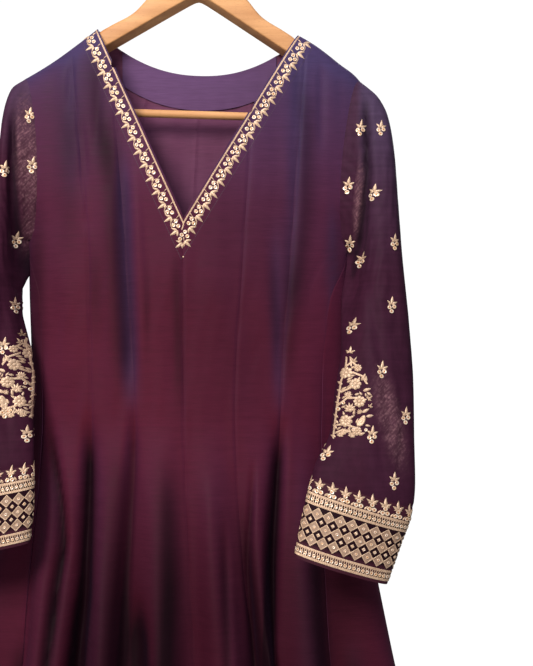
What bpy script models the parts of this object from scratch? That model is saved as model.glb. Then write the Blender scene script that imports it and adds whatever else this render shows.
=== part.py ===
"""Anarkali gown hanging on a wooden hanger: twelve long kalis, two sleeves with cuffs, V neck.

Metres, +Z up, the wearer's front towards -Y. The origin is the point inside the hook where it
bears on a rail. Every cloth piece is a thin wall on one drawn surface, and neighbours stay a seam
gap apart.
"""

import math
from collections import namedtuple

import bmesh
import bpy
import numpy as np

# Driving dimensions
NECK_Z = -0.165
CLOTH = 0.0015
SEAM_GAP = 0.0003
COLUMNS = 6
HANG_TILT = math.tan(math.radians(1.8))
TILT_FADES_FROM, TILT_FADES_TO = 0.12, 0.42

# The body below the underarm: a row for each section, by its drop below the side neck points.
Section = namedtuple("Section", "drop centre half_width half_depth flute")
SECTIONS = (
    Section(1.360, -0.024, 0.350, 0.120, 0.060),
    Section(1.180, -0.024, 0.318, 0.110, 0.053),
    Section(1.000, -0.024, 0.285, 0.100, 0.045),
    Section(0.850, -0.023, 0.254, 0.090, 0.037),
    Section(0.740, -0.022, 0.231, 0.080, 0.029),
    Section(0.660, -0.020, 0.216, 0.072, 0.021),
    Section(0.595, -0.018, 0.204, 0.064, 0.014),
    Section(0.540, -0.017, 0.194, 0.056, 0.008),
    Section(0.490, -0.016, 0.187, 0.049, 0.003),
    Section(0.440, -0.016, 0.182, 0.043, 0.000),
    Section(0.370, -0.016, 0.180, 0.037, 0.000),
    Section(0.305, -0.016, 0.182, 0.035, 0.000),
    Section(0.245, -0.016, 0.183, 0.034, 0.000),
)
UNDERARM = SECTIONS[-1]

# The front seams below the underarm, as turns in degrees about the body from its middle front.
# The back's inner seams are spaced evenly between turns of back_side either side of its middle.
Turns = namedtuple("Turns", "drop side_l outer_l inner_l front inner_r outer_r side_r back_side")
SEAM_TURNS = (
    Turns(1.360, -52.0, -32.0, -15.0, 6.0, 24.0, 32.0, 52.0, 52.0),
    Turns(0.740, -50.0, -27.0, -13.5, 5.0, 22.5, 28.0, 47.5, 50.0),
    Turns(0.595, -57.0, -32.0, -16.0, 2.3, 18.9, 29.5, 50.0, 56.0),
    Turns(0.440, -64.0, -35.6, -18.0, -0.6, 17.5, 35.4, 57.0, 70.0),
    Turns(0.305, -68.0, -37.0, -21.0, -1.0, 19.5, 38.5, 63.0, 84.0),
    Turns(0.245, -90.0, -37.0, -22.2, -1.1, 20.6, 40.1, 90.0, 90.0),
)
# How far each kali's flute stands out, as a share of the section's flute depth.
FRONT_FLUTES = (1.15, 1.00, 0.95, 0.90, 1.10, 0.85)
BACK_FLUTES = (1.05, 0.90, 1.10, 0.95, 1.00, 1.10)

# The body above the underarm: rise is the share of the way up to the neck or shoulder.
Rise = namedtuple("Rise", "rise half_depth spread")
RISES = (
    Rise(0.120, 0.0335, 0.182),
    Rise(0.300, 0.0325, 0.192),
    Rise(0.450, 0.0310, 0.198),
    Rise(0.612, 0.0290, 0.204),
    Rise(0.800, 0.0275, 0.212),
    Rise(0.920, 0.0262, 0.222),
    Rise(0.975, 0.0256, 0.228),
    Rise(1.000, 0.0250, 0.230),
)
RIDGE_ROUNDING = 14.0
RIDGE_REACH = 0.0005
# The back's ridge closes only near the shoulder: it starts at this share of the way out to the neck.
RIDGE_STARTS = 0.55
NECK_TURN = 6.0

# Neck and shoulder points, as x and drop below the side neck points.
Point = namedtuple("Point", "x drop")
V_POINT = Point(-0.0185, 0.2156)
NECK = {"l": Point(-0.1195, 0.0), "r": Point(0.1105, 0.0)}
SHOULDER_TIP = {"l": Point(-0.2035, 0.060), "r": Point(0.1815, 0.056)}
SHOULDER_CROWN = {"l": -0.003, "r": 0.006}
OUTER_SEAM_TOP_X = {"l": -0.148, "r": 0.1195}
INNER_SEAM_RISE = {"l": 0.800, "r": 0.612}
SEAM_TIP = 0.004
ARMHOLE_BOW = 0.015
BACK_NECK_DROP = 0.044
BACK_NECK_CURVE = 2.2
BACK_INNER_SEAM_X = 0.055

# The sleeves below the armhole: outer and inner edge, half depth and how far forward they hang.
Cut = namedtuple("Cut", "outer_x outer_drop inner_x inner_drop half_depth forward")
SLEEVES = {
    "r": (
        Cut(0.1985, 0.066, 0.1740, 0.243, 0.026, 0.003),
        Cut(0.2120, 0.089, 0.1775, 0.252, 0.028, 0.006),
        Cut(0.2195, 0.133, 0.1790, 0.266, 0.029, 0.010),
        Cut(0.2230, 0.190, 0.1780, 0.286, 0.029, 0.016),
        Cut(0.2265, 0.255, 0.1700, 0.316, 0.028, 0.026),
        Cut(0.2320, 0.330, 0.1600, 0.356, 0.026, 0.040),
        Cut(0.2350, 0.400, 0.1495, 0.405, 0.024, 0.054),
        Cut(0.2340, 0.460, 0.1420, 0.455, 0.022, 0.068),
        Cut(0.2330, 0.505, 0.1265, 0.484, 0.019, 0.082),
        Cut(0.2300, 0.530, 0.1220, 0.498, 0.018, 0.088),
    ),
    "l": (
        Cut(-0.2165, 0.071, -0.2030, 0.243, 0.026, 0.003),
        Cut(-0.2240, 0.093, -0.2060, 0.252, 0.028, 0.006),
        Cut(-0.2290, 0.136, -0.2080, 0.266, 0.029, 0.010),
        Cut(-0.2345, 0.190, -0.2085, 0.286, 0.029, 0.016),
        Cut(-0.2430, 0.255, -0.2055, 0.316, 0.028, 0.026),
        Cut(-0.2550, 0.330, -0.1965, 0.356, 0.026, 0.038),
        Cut(-0.2650, 0.400, -0.1865, 0.403, 0.024, 0.050),
        Cut(-0.2720, 0.450, -0.1800, 0.440, 0.022, 0.062),
        Cut(-0.2765, 0.490, -0.1765, 0.473, 0.019, 0.074),
        Cut(-0.2785, 0.503, -0.1755, 0.485, 0.018, 0.078),
    ),
}
CUFFS = {
    "r": (
        Cut(0.2155, 0.568, 0.1120, 0.537, 0.017, 0.098),
        Cut(0.2000, 0.607, 0.1030, 0.578, 0.016, 0.107),
    ),
    "l": (
        Cut(-0.2815, 0.545, -0.1740, 0.526, 0.017, 0.086),
        Cut(-0.2830, 0.586, -0.1770, 0.567, 0.016, 0.092),
    ),
}
SLEEVE_COLUMNS = 2 * len(RISES)

# Trim and facing
PIPING_RADIUS = 0.0012
PIPING_INSET = 0.0032
PIPING_CLEARANCE = 0.0005
PIPING_APEX_DROP = 0.0051
FACING_DEPTH = 0.040
FACING_HALF_WIDTH = 0.090
FACING_COLUMNS = 12
FACING_THICKNESS = 0.0010
FACING_CLEARANCE = 0.0014

# Hanger: the arms' upper edge by its distance out from the middle, above the side neck points.
Edge = namedtuple("Edge", "out rise")
ARM_TOP = (
    Edge(0.000, 0.068),
    Edge(0.022, 0.062),
    Edge(0.057, 0.037),
    Edge(0.100, -0.002),
    Edge(0.118, -0.015),
    Edge(0.140, -0.030),
    Edge(0.165, -0.048),
    Edge(0.176, -0.060),
    Edge(0.180, -0.068),
)
WOOD_THICKNESS = 0.018
WOOD_EDGE = 0.0020
ARM_UNDER_RISE = 0.0445
ARM_UNDER_SLOPE = 0.59
ARM_TIP_DROP = 0.107
ARM_TIP_WIDTH = 0.016
ARM_TIP_CHAMFER = (0.006, 0.007)
ARM_CROTCH = (0.014, 0.010)
ARM_CROWN_FLAT = (0.012, 0.004)
BAR_RADIUS = 0.0045
BAR_DROP = 0.0945
WIRE_RADIUS = 0.0018
HOOK_INNER_RADIUS = 0.017
HOOK_STEM_BENDS = ((0.0, 0.034), (0.003, 0.026))
HOOK_TURNS = (-48.0, 195.0)
HOOK_STEPS = 14

PART_NAME = "anarkali_gown_on_hanger"
SIDES = ("l", "r")


def clear_scene():
    """Remove every object, so that only the part is left."""
    for obj in list(bpy.data.objects):
        bpy.data.objects.remove(obj, do_unlink=True)


def make_material(name, colour, roughness, metallic=0.0):
    material = bpy.data.materials.new(name)
    material.use_nodes = True
    shader = material.node_tree.nodes["Principled BSDF"]
    shader.inputs["Base Color"].default_value = (*colour, 1.0)
    shader.inputs["Roughness"].default_value = roughness
    shader.inputs["Metallic"].default_value = metallic
    return material


def add_object(name, mesh, material, collection):
    obj = bpy.data.objects.new(name, mesh)
    obj.data.materials.append(material)
    collection.objects.link(obj)
    return obj


def column(rows, field, drop):
    """A named column of a table of sections, read at a drop."""
    drops = [row.drop for row in rows]
    values = [getattr(row, field) for row in rows]
    return float(np.interp(drop, drops[::-1], values[::-1]))


def tilted(points):
    """The shoulders follow the hanger, which hangs a little lower on its right side."""
    points = np.array(points, float)
    drops = NECK_Z - points[..., 2]
    fade = np.clip((TILT_FADES_TO - drops) / (TILT_FADES_TO - TILT_FADES_FROM), 0.0, 1.0)
    points[..., 2] -= HANG_TILT * points[..., 0] * fade
    return points


# ---------------------------------------------------------------- body surface


def ring_point(section, turn, flute):
    """A point of the body's oval at a turn in degrees, moved out by its flute."""
    angle = math.radians(turn)
    out_x = section.half_depth * math.sin(angle)
    out_y = -section.half_width * math.cos(angle)
    length = math.hypot(out_x, out_y)
    x = section.centre + section.half_width * math.sin(angle) + flute * out_x / length
    y = -section.half_depth * math.cos(angle) + flute * out_y / length
    return x, y, NECK_Z - section.drop


def seam_turns(drop):
    """The turns of all seams at a drop: seven across the front, then on round the back."""
    *front, back_side = [column(SEAM_TURNS, field, drop) for field in Turns._fields[1:]]
    back = np.linspace(back_side, 360.0 - back_side, len(front))
    return front, [front[-1], *back[1:-1], front[0] + 360.0]


def lower_row(section, kali, on_back):
    """One row of a kali's points at a section below the underarm."""
    front, back = seam_turns(section.drop)
    turns = back if on_back else front
    share = (BACK_FLUTES if on_back else FRONT_FLUTES)[kali]
    row = []
    for s in np.linspace(0.0, 1.0, COLUMNS + 1):
        turn = turns[kali] + (turns[kali + 1] - turns[kali]) * s
        swell = 0.5 - 0.5 * math.cos(2.0 * math.pi * s)
        row.append(ring_point(section, turn, section.flute * share * swell))
    return row


def v_edge_x(side, drop):
    """The neckline's x at a drop, on the straight line from the V's point to the side neck."""
    share = min(max(1.0 - drop / V_POINT.drop, 0.0), 1.0)
    return V_POINT.x + (NECK[side].x - V_POINT.x) * share


def shoulder_drop(side, x):
    """The shoulder line's drop at x, from the side neck to the tip, with a slight crown."""
    neck, tip = NECK[side], SHOULDER_TIP[side]
    share = min(max((x - neck.x) / (tip.x - neck.x), 0.0), 1.0)
    return tip.drop * share - SHOULDER_CROWN[side] * math.sin(math.pi * share)


def back_neck_drop(x):
    """The back neckline's drop at x: a shallow curve between the side neck points."""
    middle = 0.5 * (NECK["l"].x + NECK["r"].x)
    half = 0.5 * (NECK["r"].x - NECK["l"].x)
    share = min(abs(x - middle) / half, 1.0)
    return BACK_NECK_DROP * (1.0 - share**BACK_NECK_CURVE)


def underarm_x(turn):
    return UNDERARM.centre + UNDERARM.half_width * math.sin(math.radians(turn))


def side_x(side):
    return underarm_x(90.0 if side == "r" else -90.0)


def armhole_x(side, rise):
    """The armhole edge: a bow from the underarm to the shoulder tip."""
    straight = side_x(side) + (SHOULDER_TIP[side].x - side_x(side)) * rise
    inward = -1.0 if side == "r" else 1.0
    return straight + inward * ARMHOLE_BOW * 2.0 * math.sqrt(rise * (1.0 - rise))


def front_lines(side, rise):
    """(x, drop at the top) of the four front seam lines on a side: front, inner, outer, armhole."""
    front, _ = seam_turns(UNDERARM.drop)
    turns = front[3:] if side == "r" else front[3::-1]
    drop = UNDERARM.drop * (1.0 - rise)
    edge = v_edge_x(side, drop)
    rise_of_v = 1.0 - V_POINT.drop / UNDERARM.drop
    if rise < rise_of_v:
        middle = underarm_x(turns[0]) + (V_POINT.x - underarm_x(turns[0])) * rise / rise_of_v
    else:
        middle = edge
    met = INNER_SEAM_RISE[side]
    outward = 1.0 if side == "r" else -1.0
    meeting_x = v_edge_x(side, UNDERARM.drop * (1.0 - met)) + outward * SEAM_TIP
    inner = edge
    if rise <= met:
        inner = underarm_x(turns[1]) + (meeting_x - underarm_x(turns[1])) * rise / met
    top_x = OUTER_SEAM_TOP_X[side]
    outer = underarm_x(turns[2]) + (top_x - underarm_x(turns[2])) * rise
    return (
        (middle, 0.0),
        (inner, 0.0),
        (outer, shoulder_drop(side, top_x)),
        (armhole_x(side, rise), SHOULDER_TIP[side].drop),
    )


def back_lines(side, rise):
    """(x, drop at the top) of the four back seam lines on a side: middle, inner, outer, armhole."""
    _, back = seam_turns(UNDERARM.drop)
    turns = back[3::-1] if side == "r" else back[3:]
    middle_top = 0.5 * (NECK["l"].x + NECK["r"].x)
    outward = 1.0 if side == "r" else -1.0
    tops = (middle_top, middle_top + outward * BACK_INNER_SEAM_X, OUTER_SEAM_TOP_X[side])
    lines = []
    for turn, top_x in zip(turns, tops):
        x = underarm_x(turn) + (top_x - underarm_x(turn)) * rise
        past_neck = outward * (top_x - NECK[side].x) > 0.0
        top_drop = shoulder_drop(side, top_x) if past_neck else back_neck_drop(top_x)
        lines.append((x, top_drop))
    lines.append((armhole_x(side, rise), SHOULDER_TIP[side].drop))
    return tuple(lines)


def upper_depth(step, x, top_x, side, on_back):
    """How far the cloth stands from the middle plane, closing over the shoulder ridge."""
    oval = math.sqrt(max(1.0 - ((x - UNDERARM.centre) / step.spread) ** 2, 0.0))
    ridge = math.sqrt(max(1.0 - step.rise**RIDGE_ROUNDING, 0.0))
    if on_back:
        neck = abs(NECK[side].x)
        share = (abs(top_x) / neck - RIDGE_STARTS) / (1.0 - RIDGE_STARTS)
        at_shoulder = min(max(share, 0.0), 1.0)
        ridge = 1.0 - (1.0 - ridge) * at_shoulder**NECK_TURN
    return step.half_depth * oval * ridge


def upper_row(step, side, panel, on_back):
    """One row of a panel above the underarm, from its line nearer the middle outwards."""
    make_lines = back_lines if on_back else front_lines
    (x0, top0), (x1, top1) = make_lines(side, step.rise)[panel : panel + 2]
    (end0, _), (end1, _) = make_lines(side, 1.0)[panel : panel + 2]
    row = []
    for s in np.linspace(0.0, 1.0, COLUMNS + 1):
        x = x0 + (x1 - x0) * s
        top_x = end0 + (end1 - end0) * s
        top_drop = top0 + (top1 - top0) * s
        outward = 1.0 if side == "r" else -1.0
        if outward * (top_x - NECK[side].x) > 0.0:
            top_drop = shoulder_drop(side, top_x)
        elif on_back:
            top_drop = back_neck_drop(top_x)
        z = NECK_Z - UNDERARM.drop + (UNDERARM.drop - top_drop) * step.rise
        depth = upper_depth(step, x, top_x, side, on_back)
        row.append((x, depth if on_back else -depth, z))
    return row


def kali_side_and_panel(kali, on_back):
    """Kalis run from side to side: their side, and their place outward from the middle."""
    if on_back:
        return ("r", 2 - kali) if kali < 3 else ("l", kali - 3)
    return ("l", 2 - kali) if kali < 3 else ("r", kali - 3)


def kali_grid(kali, on_back):
    """All rows of a kali, hem first, its columns running on round the body."""
    rows = [lower_row(section, kali, on_back) for section in SECTIONS]
    side, panel = kali_side_and_panel(kali, on_back)
    for step in RISES:
        if panel == 0 and not on_back and step.rise > INNER_SEAM_RISE[side]:
            break
        row = upper_row(step, side, panel, on_back)
        rows.append(row[::-1] if kali < 3 else row)
    return np.array(rows)


def grid_normals(grid):
    """Unit normals of a grid, pointing out of the body."""
    along = np.gradient(grid, axis=1)
    up = np.gradient(grid, axis=0)
    normals = np.cross(along, up)
    return normals / np.linalg.norm(normals, axis=2, keepdims=True)


def share_normals(grids, normals, first, second):
    """Give the meeting edges of two neighbours one common normal."""
    for row in range(min(len(grids[first]), len(grids[second]))):
        if np.linalg.norm(grids[first][row, -1] - grids[second][row, 0]) > 1e-6:
            continue
        mean = normals[first][row, -1] + normals[second][row, 0]
        mean /= np.linalg.norm(mean)
        normals[first][row, -1] = mean
        normals[second][row, 0] = mean


def body_surfaces():
    """Grids and normals of all twelve kalis, in order round the body from the left side."""
    order = [("front", kali) for kali in range(6)] + [("back", kali) for kali in range(6)]
    grids = {key: kali_grid(key[1], key[0] == "back") for key in order}
    normals = {key: grid_normals(grid) for key, grid in grids.items()}
    for place, key in enumerate(order):
        share_normals(grids, normals, key, order[(place + 1) % len(order)])
    for key, normal in normals.items():
        on_ridge = np.abs(grids[key][-1, :, 1]) < RIDGE_REACH
        normal[-1, on_ridge, 1] = 0.0
        normal[-1] /= np.linalg.norm(normal[-1], axis=1, keepdims=True)
    return grids, normals


# ---------------------------------------------------------------- walls


def pulled_in(grid):
    """The grid with its side columns half a seam gap inside its seams."""
    grid = grid.copy()
    for edge, inner in ((0, 1), (-1, -2)):
        towards = grid[:, inner] - grid[:, edge]
        towards /= np.linalg.norm(towards, axis=1, keepdims=True)
        grid[:, edge] += towards * SEAM_GAP / 2.0
    return grid


def wall_mesh(name, outer, inner, closed):
    """A closed wall between two grids: a tube if its columns run round, else a sheet."""
    rows, columns = outer.shape[:2]
    mesh = bmesh.new()
    skins = []
    for grid in (outer, inner):
        skins.append([[mesh.verts.new(point) for point in row] for row in grid.tolist()])
    around = columns if closed else columns - 1
    for r in range(rows - 1):
        for c in range(around):
            n = (c + 1) % columns
            out, ins = skins
            mesh.faces.new((out[r][c], out[r][n], out[r + 1][n], out[r + 1][c]))
            mesh.faces.new((ins[r][c], ins[r + 1][c], ins[r + 1][n], ins[r][n]))
    for c in range(around):
        n = (c + 1) % columns
        for r in (0, rows - 1):
            mesh.faces.new((skins[0][r][c], skins[0][r][n], skins[1][r][n], skins[1][r][c]))
    if not closed:
        for r in range(rows - 1):
            for c in (0, columns - 1):
                mesh.faces.new(
                    (skins[0][r][c], skins[0][r + 1][c], skins[1][r + 1][c], skins[1][r][c])
                )
    bmesh.ops.recalc_face_normals(mesh, faces=mesh.faces)
    data = bpy.data.meshes.new(name)
    mesh.to_mesh(data)
    mesh.free()
    data.shade_smooth()
    data.set_sharp_from_angle(angle=math.radians(50.0))
    return data


def build_kalis(grids, normals, material, collection):
    for (face, kali), grid in grids.items():
        side, panel = kali_side_and_panel(kali, face == "back")
        place = ("centre", "princess", "side")[panel]
        name = f"{face}_{place}_kali_{'left' if side == 'l' else 'right'}"
        outer = pulled_in(grid)
        inner = outer - CLOTH * normals[face, kali]
        if panel > 0 or face == "back":
            half = -SEAM_GAP / 2.0 if face == "front" else SEAM_GAP / 2.0
            outer[-1, :, 1] += half
            inner[-1, :, 1] += half
        data = wall_mesh(name, tilted(outer), tilted(inner), closed=False)
        add_object(name, data, material, collection)


# ---------------------------------------------------------------- sleeves


def armhole_ring(side):
    """The armhole's loop: from the shoulder tip down the front to the underarm, and up the back."""
    front = [row.rise for row in RISES[::-1]] + [0.0]
    back = front[-2:0:-1]
    ring = []
    for rise, way in [(rise, -1.0) for rise in front] + [(rise, 1.0) for rise in back]:
        x = armhole_x(side, rise)
        depth = upper_depth(rise_at(rise), x, SHOULDER_TIP[side].x, side, way > 0.0)
        z = NECK_Z - UNDERARM.drop + (UNDERARM.drop - SHOULDER_TIP[side].drop) * rise
        ring.append((x, way * depth, z))
    return np.array(ring)


def rise_at(rise):
    """The body's depth and spread at any rise, between the rows of its table."""
    rises = [0.0] + [row.rise for row in RISES]
    depths = [UNDERARM.half_depth] + [row.half_depth for row in RISES]
    spreads = [UNDERARM.half_width] + [row.spread for row in RISES]
    return Rise(rise, float(np.interp(rise, rises, depths)), float(np.interp(rise, rises, spreads)))


def sleeve_ring(cut):
    """A flattened ring across the sleeve, from its outer edge round by the front."""
    outer = np.array((cut.outer_x, -cut.forward, NECK_Z - cut.outer_drop))
    inner = np.array((cut.inner_x, -cut.forward, NECK_Z - cut.inner_drop))
    middle, half = (outer + inner) / 2.0, (outer - inner) / 2.0
    ring = []
    for c in range(SLEEVE_COLUMNS):
        angle = 2.0 * math.pi * c / SLEEVE_COLUMNS
        forward = np.array((0.0, -cut.half_depth * math.sin(angle), 0.0))
        ring.append(middle + half * math.cos(angle) + forward)
    return np.array(ring)


def tube_normals(grid, side):
    """Unit normals of a tube's grid, pointing out of it."""
    along = np.roll(grid, -1, axis=1) - np.roll(grid, 1, axis=1)
    down = np.gradient(grid, axis=0)
    normals = np.cross(along, down) * (1.0 if side == "r" else -1.0)
    return normals / np.linalg.norm(normals, axis=2, keepdims=True)


def build_tube(name, grid, normals, material, collection):
    """A tube's wall, with its ends half a seam gap short of its neighbours."""
    grid = grid.copy()
    for edge, inner in ((0, 1), (-1, -2)):
        towards = grid[inner] - grid[edge]
        grid[edge] += towards / np.linalg.norm(towards, axis=1, keepdims=True) * SEAM_GAP / 2.0
    data = wall_mesh(name, tilted(grid), tilted(grid - CLOTH * normals), closed=True)
    return add_object(name, data, material, collection)


def build_sleeves(cloth, border, collection):
    """Each sleeve and its cuff border lie on one surface, cut at the border's top seam."""
    for side, word in (("l", "left"), ("r", "right")):
        rings = [armhole_ring(side)] + [sleeve_ring(cut) for cut in SLEEVES[side] + CUFFS[side]]
        grid = np.array(rings)
        normals = tube_normals(grid, side)
        seam = len(SLEEVES[side])
        build_tube(f"sleeve_{word}", grid[: seam + 1], normals[: seam + 1], cloth, collection)
        build_tube(f"cuff_border_{word}", grid[seam:], normals[seam:], border, collection)


# ---------------------------------------------------------------- trim


def piping_path():
    """The cord's route down one side of the V and up the other, on the cloth's face."""
    path = []
    lift = PIPING_RADIUS + PIPING_CLEARANCE
    for side in SIDES:
        outward = 1.0 if side == "r" else -1.0
        run = []
        for step in RISES[:-1]:
            drop = UNDERARM.drop * (1.0 - step.rise)
            x = v_edge_x(side, drop) + outward * PIPING_INSET
            depth = upper_depth(step, x, x, side, False)
            run.append((x, -depth - lift, NECK_Z - drop))
        path.append(run)
    left, right = path
    apex = (V_POINT.x, right[0][1], NECK_Z - V_POINT.drop - PIPING_APEX_DROP)
    return tilted(left[:0:-1] + [apex] + right[1:])


def build_piping(material, collection):
    curve = bpy.data.curves.new("neck_piping", "CURVE")
    curve.dimensions = "3D"
    curve.bevel_depth = PIPING_RADIUS
    curve.bevel_resolution = 2
    curve.use_fill_caps = True
    path = piping_path()
    spline = curve.splines.new("POLY")
    spline.points.add(len(path) - 1)
    for point, place in zip(spline.points, path):
        point.co = (*place, 1.0)
    curve.materials.append(material)
    collection.objects.link(bpy.data.objects.new("neck_piping", curve))


def build_back_facing(material, collection):
    """The strip of cloth inside the back neck, a clearance in from the kalis."""
    middle = 0.5 * (NECK["l"].x + NECK["r"].x)
    rows = []
    for share in (1.0, 0.5, 0.0):
        row = []
        for x in np.linspace(middle - FACING_HALF_WIDTH, middle + FACING_HALF_WIDTH, FACING_COLUMNS + 1):
            side = "r" if x > middle else "l"
            top = back_neck_drop(x) + SEAM_GAP
            drop = top + FACING_DEPTH * share
            step = rise_at((UNDERARM.drop - drop) / (UNDERARM.drop - back_neck_drop(x)))
            depth = upper_depth(step, x, x, side, True)
            row.append((x, depth - CLOTH - FACING_CLEARANCE, NECK_Z - drop))
        rows.append(row)
    outer = np.array(rows)
    inner = outer - np.array((0.0, FACING_THICKNESS, 0.0))
    data = wall_mesh("back_neck_facing", tilted(outer), tilted(inner), closed=False)
    add_object("back_neck_facing", data, material, collection)


# ---------------------------------------------------------------- hanger


def hung(obj):
    """Turn a hanger piece about the hook's bearing point by the same tilt."""
    obj.rotation_euler = (0.0, math.atan(HANG_TILT), 0.0)
    return obj


def arm_under_z(out):
    """The arms' straight under edge, a distance out from the middle."""
    return NECK_Z + ARM_UNDER_RISE - ARM_UNDER_SLOPE * out


def build_arms(material, collection):
    """The wooden bow: one outline of both arms, extruded to its thickness."""
    span = ARM_TOP[-1].out
    inside = span - ARM_TIP_WIDTH
    foot = NECK_Z - ARM_TIP_DROP
    upper = [(edge.out, NECK_Z + edge.rise) for edge in ARM_TOP]
    chamfer_out, chamfer_up = ARM_TIP_CHAMFER
    crotch_out, crotch_down = ARM_CROTCH
    crown_out, crown_flat = ARM_CROWN_FLAT
    tip = [(span, foot + chamfer_up), (span - chamfer_out, foot), (inside, foot)]
    under = [
        (inside, arm_under_z(inside) - crotch_down),
        (inside - crotch_out, arm_under_z(inside - crotch_out)),
        (crown_out, arm_under_z(crown_out)),
        (0.0, arm_under_z(crown_flat)),
    ]
    right = upper + tip + under
    outline = right + [(-x, z) for x, z in right[1:-1]][::-1]
    curve = bpy.data.curves.new("hanger_arms", "CURVE")
    curve.dimensions = "2D"
    curve.fill_mode = "BOTH"
    curve.extrude = WOOD_THICKNESS / 2.0 - WOOD_EDGE
    curve.bevel_depth = WOOD_EDGE
    curve.bevel_resolution = 1
    curve.offset = -WOOD_EDGE
    spline = curve.splines.new("POLY")
    spline.points.add(len(outline) - 1)
    for point, (x, z) in zip(spline.points, outline):
        point.co = (x, z, 0.0, 1.0)
    spline.use_cyclic_u = True
    curve.materials.append(material)
    arms = bpy.data.objects.new("hanger_arms", curve)
    collection.objects.link(arms)
    arms.rotation_euler = (math.pi / 2.0, math.atan(HANG_TILT), 0.0)
    return arms


def build_bar(material, collection):
    length = 2.0 * (ARM_TOP[-1].out - ARM_TIP_WIDTH - SEAM_GAP)
    mesh = bmesh.new()
    bmesh.ops.create_cone(
        mesh, cap_ends=True, segments=20, radius1=BAR_RADIUS, radius2=BAR_RADIUS, depth=length
    )
    turn = np.array(((0.0, 0.0, 1.0), (0.0, 1.0, 0.0), (-1.0, 0.0, 0.0)))
    for vert in mesh.verts:
        vert.co = turn @ np.array(vert.co) + np.array((0.0, 0.0, NECK_Z - BAR_DROP))
    data = bpy.data.meshes.new("hanger_bar")
    mesh.to_mesh(data)
    mesh.free()
    data.shade_smooth()
    data.set_sharp_from_angle(angle=math.radians(40.0))
    return hung(add_object("hanger_bar", data, material, collection))


def build_hook(material, collection):
    """The wire hook: a stem out of the wood, then a wide turn over the rail."""
    radius = HOOK_INNER_RADIUS + WIRE_RADIUS
    middle_z = -HOOK_INNER_RADIUS
    path = [(0.0, NECK_Z + ARM_TOP[0].rise + SEAM_GAP)]
    path += [(x, middle_z - below) for x, below in HOOK_STEM_BENDS]
    for turn in np.linspace(*HOOK_TURNS, HOOK_STEPS):
        angle = math.radians(turn)
        path.append((radius * math.cos(angle), middle_z + radius * math.sin(angle)))
    curve = bpy.data.curves.new("hanger_hook", "CURVE")
    curve.dimensions = "3D"
    curve.bevel_depth = WIRE_RADIUS
    curve.bevel_resolution = 2
    curve.use_fill_caps = True
    spline = curve.splines.new("POLY")
    spline.points.add(len(path) - 1)
    for point, (x, z) in zip(spline.points, path):
        point.co = (x, 0.0, z, 1.0)
    curve.materials.append(material)
    hook = bpy.data.objects.new("hanger_hook", curve)
    collection.objects.link(hook)
    return hung(hook)


def main():
    clear_scene()
    collection = bpy.data.collections.new(PART_NAME)
    bpy.context.scene.collection.children.link(collection)
    silk = make_material("shot_silk", (0.075, 0.014, 0.030), 0.45)
    facing = make_material("facing_silk", (0.085, 0.022, 0.050), 0.48)
    sheer = make_material("sheer_silk", (0.060, 0.018, 0.030), 0.50)
    border = make_material("embroidered_border", (0.560, 0.400, 0.270), 0.50)
    cord = make_material("gold_cord", (0.600, 0.420, 0.250), 0.42, 0.4)
    wood = make_material("beech", (0.720, 0.430, 0.200), 0.45)
    steel = make_material("hook_steel", (0.620, 0.620, 0.640), 0.25, 1.0)

    grids, normals = body_surfaces()
    build_kalis(grids, normals, silk, collection)
    build_sleeves(sheer, border, collection)
    build_piping(cord, collection)
    build_back_facing(facing, collection)
    build_arms(wood, collection)
    build_bar(wood, collection)
    build_hook(steel, collection)


main()
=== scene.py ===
"""An anarkali gown of shot silk on a wooden hanger: draped cloth, thread work, wood and wire.

Metres, +Z up, the wearer's front towards -Y. The origin is where the hook bears on a rail.
"""

import logging
import math
from dataclasses import dataclass
from enum import Enum, IntEnum
from typing import Callable, NamedTuple, Optional, Sequence

import bmesh
import bpy
import numpy as np
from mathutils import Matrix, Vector
from mathutils.bvhtree import BVHTree


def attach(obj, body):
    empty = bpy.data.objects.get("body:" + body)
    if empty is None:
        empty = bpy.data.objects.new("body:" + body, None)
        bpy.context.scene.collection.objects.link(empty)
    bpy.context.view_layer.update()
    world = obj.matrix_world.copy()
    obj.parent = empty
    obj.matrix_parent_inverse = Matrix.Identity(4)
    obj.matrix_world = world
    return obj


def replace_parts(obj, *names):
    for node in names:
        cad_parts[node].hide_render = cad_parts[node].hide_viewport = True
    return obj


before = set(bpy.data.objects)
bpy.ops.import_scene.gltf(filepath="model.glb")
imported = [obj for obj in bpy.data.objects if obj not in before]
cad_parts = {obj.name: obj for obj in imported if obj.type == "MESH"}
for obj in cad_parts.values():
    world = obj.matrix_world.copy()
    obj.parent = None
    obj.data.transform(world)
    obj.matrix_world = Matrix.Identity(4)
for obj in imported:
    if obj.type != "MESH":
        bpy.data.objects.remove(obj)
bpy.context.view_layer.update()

logging.basicConfig(level=logging.INFO, format="%(message)s")
LOG = logging.getLogger("gown")

NECK_Z = -0.165
MM = 0.001
CLOTH = 0.0012
SEAM_GAP = 0.0003
SEWN_GAP = 0.00002
HANG_TILT = math.tan(math.radians(1.8))
TILT_FADES = (0.12, 0.42)

Triple = tuple[float, float, float]
Socket = bpy.types.NodeSocket


class Face(Enum):
    """Which way a panel of the body looks."""

    FRONT = "front"
    BACK = "back"


class Side(Enum):
    """A side of the gown as seen from its front: left is towards -X."""

    LEFT = "left"
    RIGHT = "right"

    @property
    def outward(self) -> float:
        """The sign of X that leads out of the body on this side."""
        return 1.0 if self is Side.RIGHT else -1.0


# ---------------------------------------------------------------- curves and grids


def eased(low: float, high: float, value: np.ndarray) -> np.ndarray:
    """A soft step from 0 at low to 1 at high."""
    share = np.clip((np.asarray(value, float) - low) / (high - low), 0.0, 1.0)
    return share * share * (3.0 - 2.0 * share)


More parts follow.
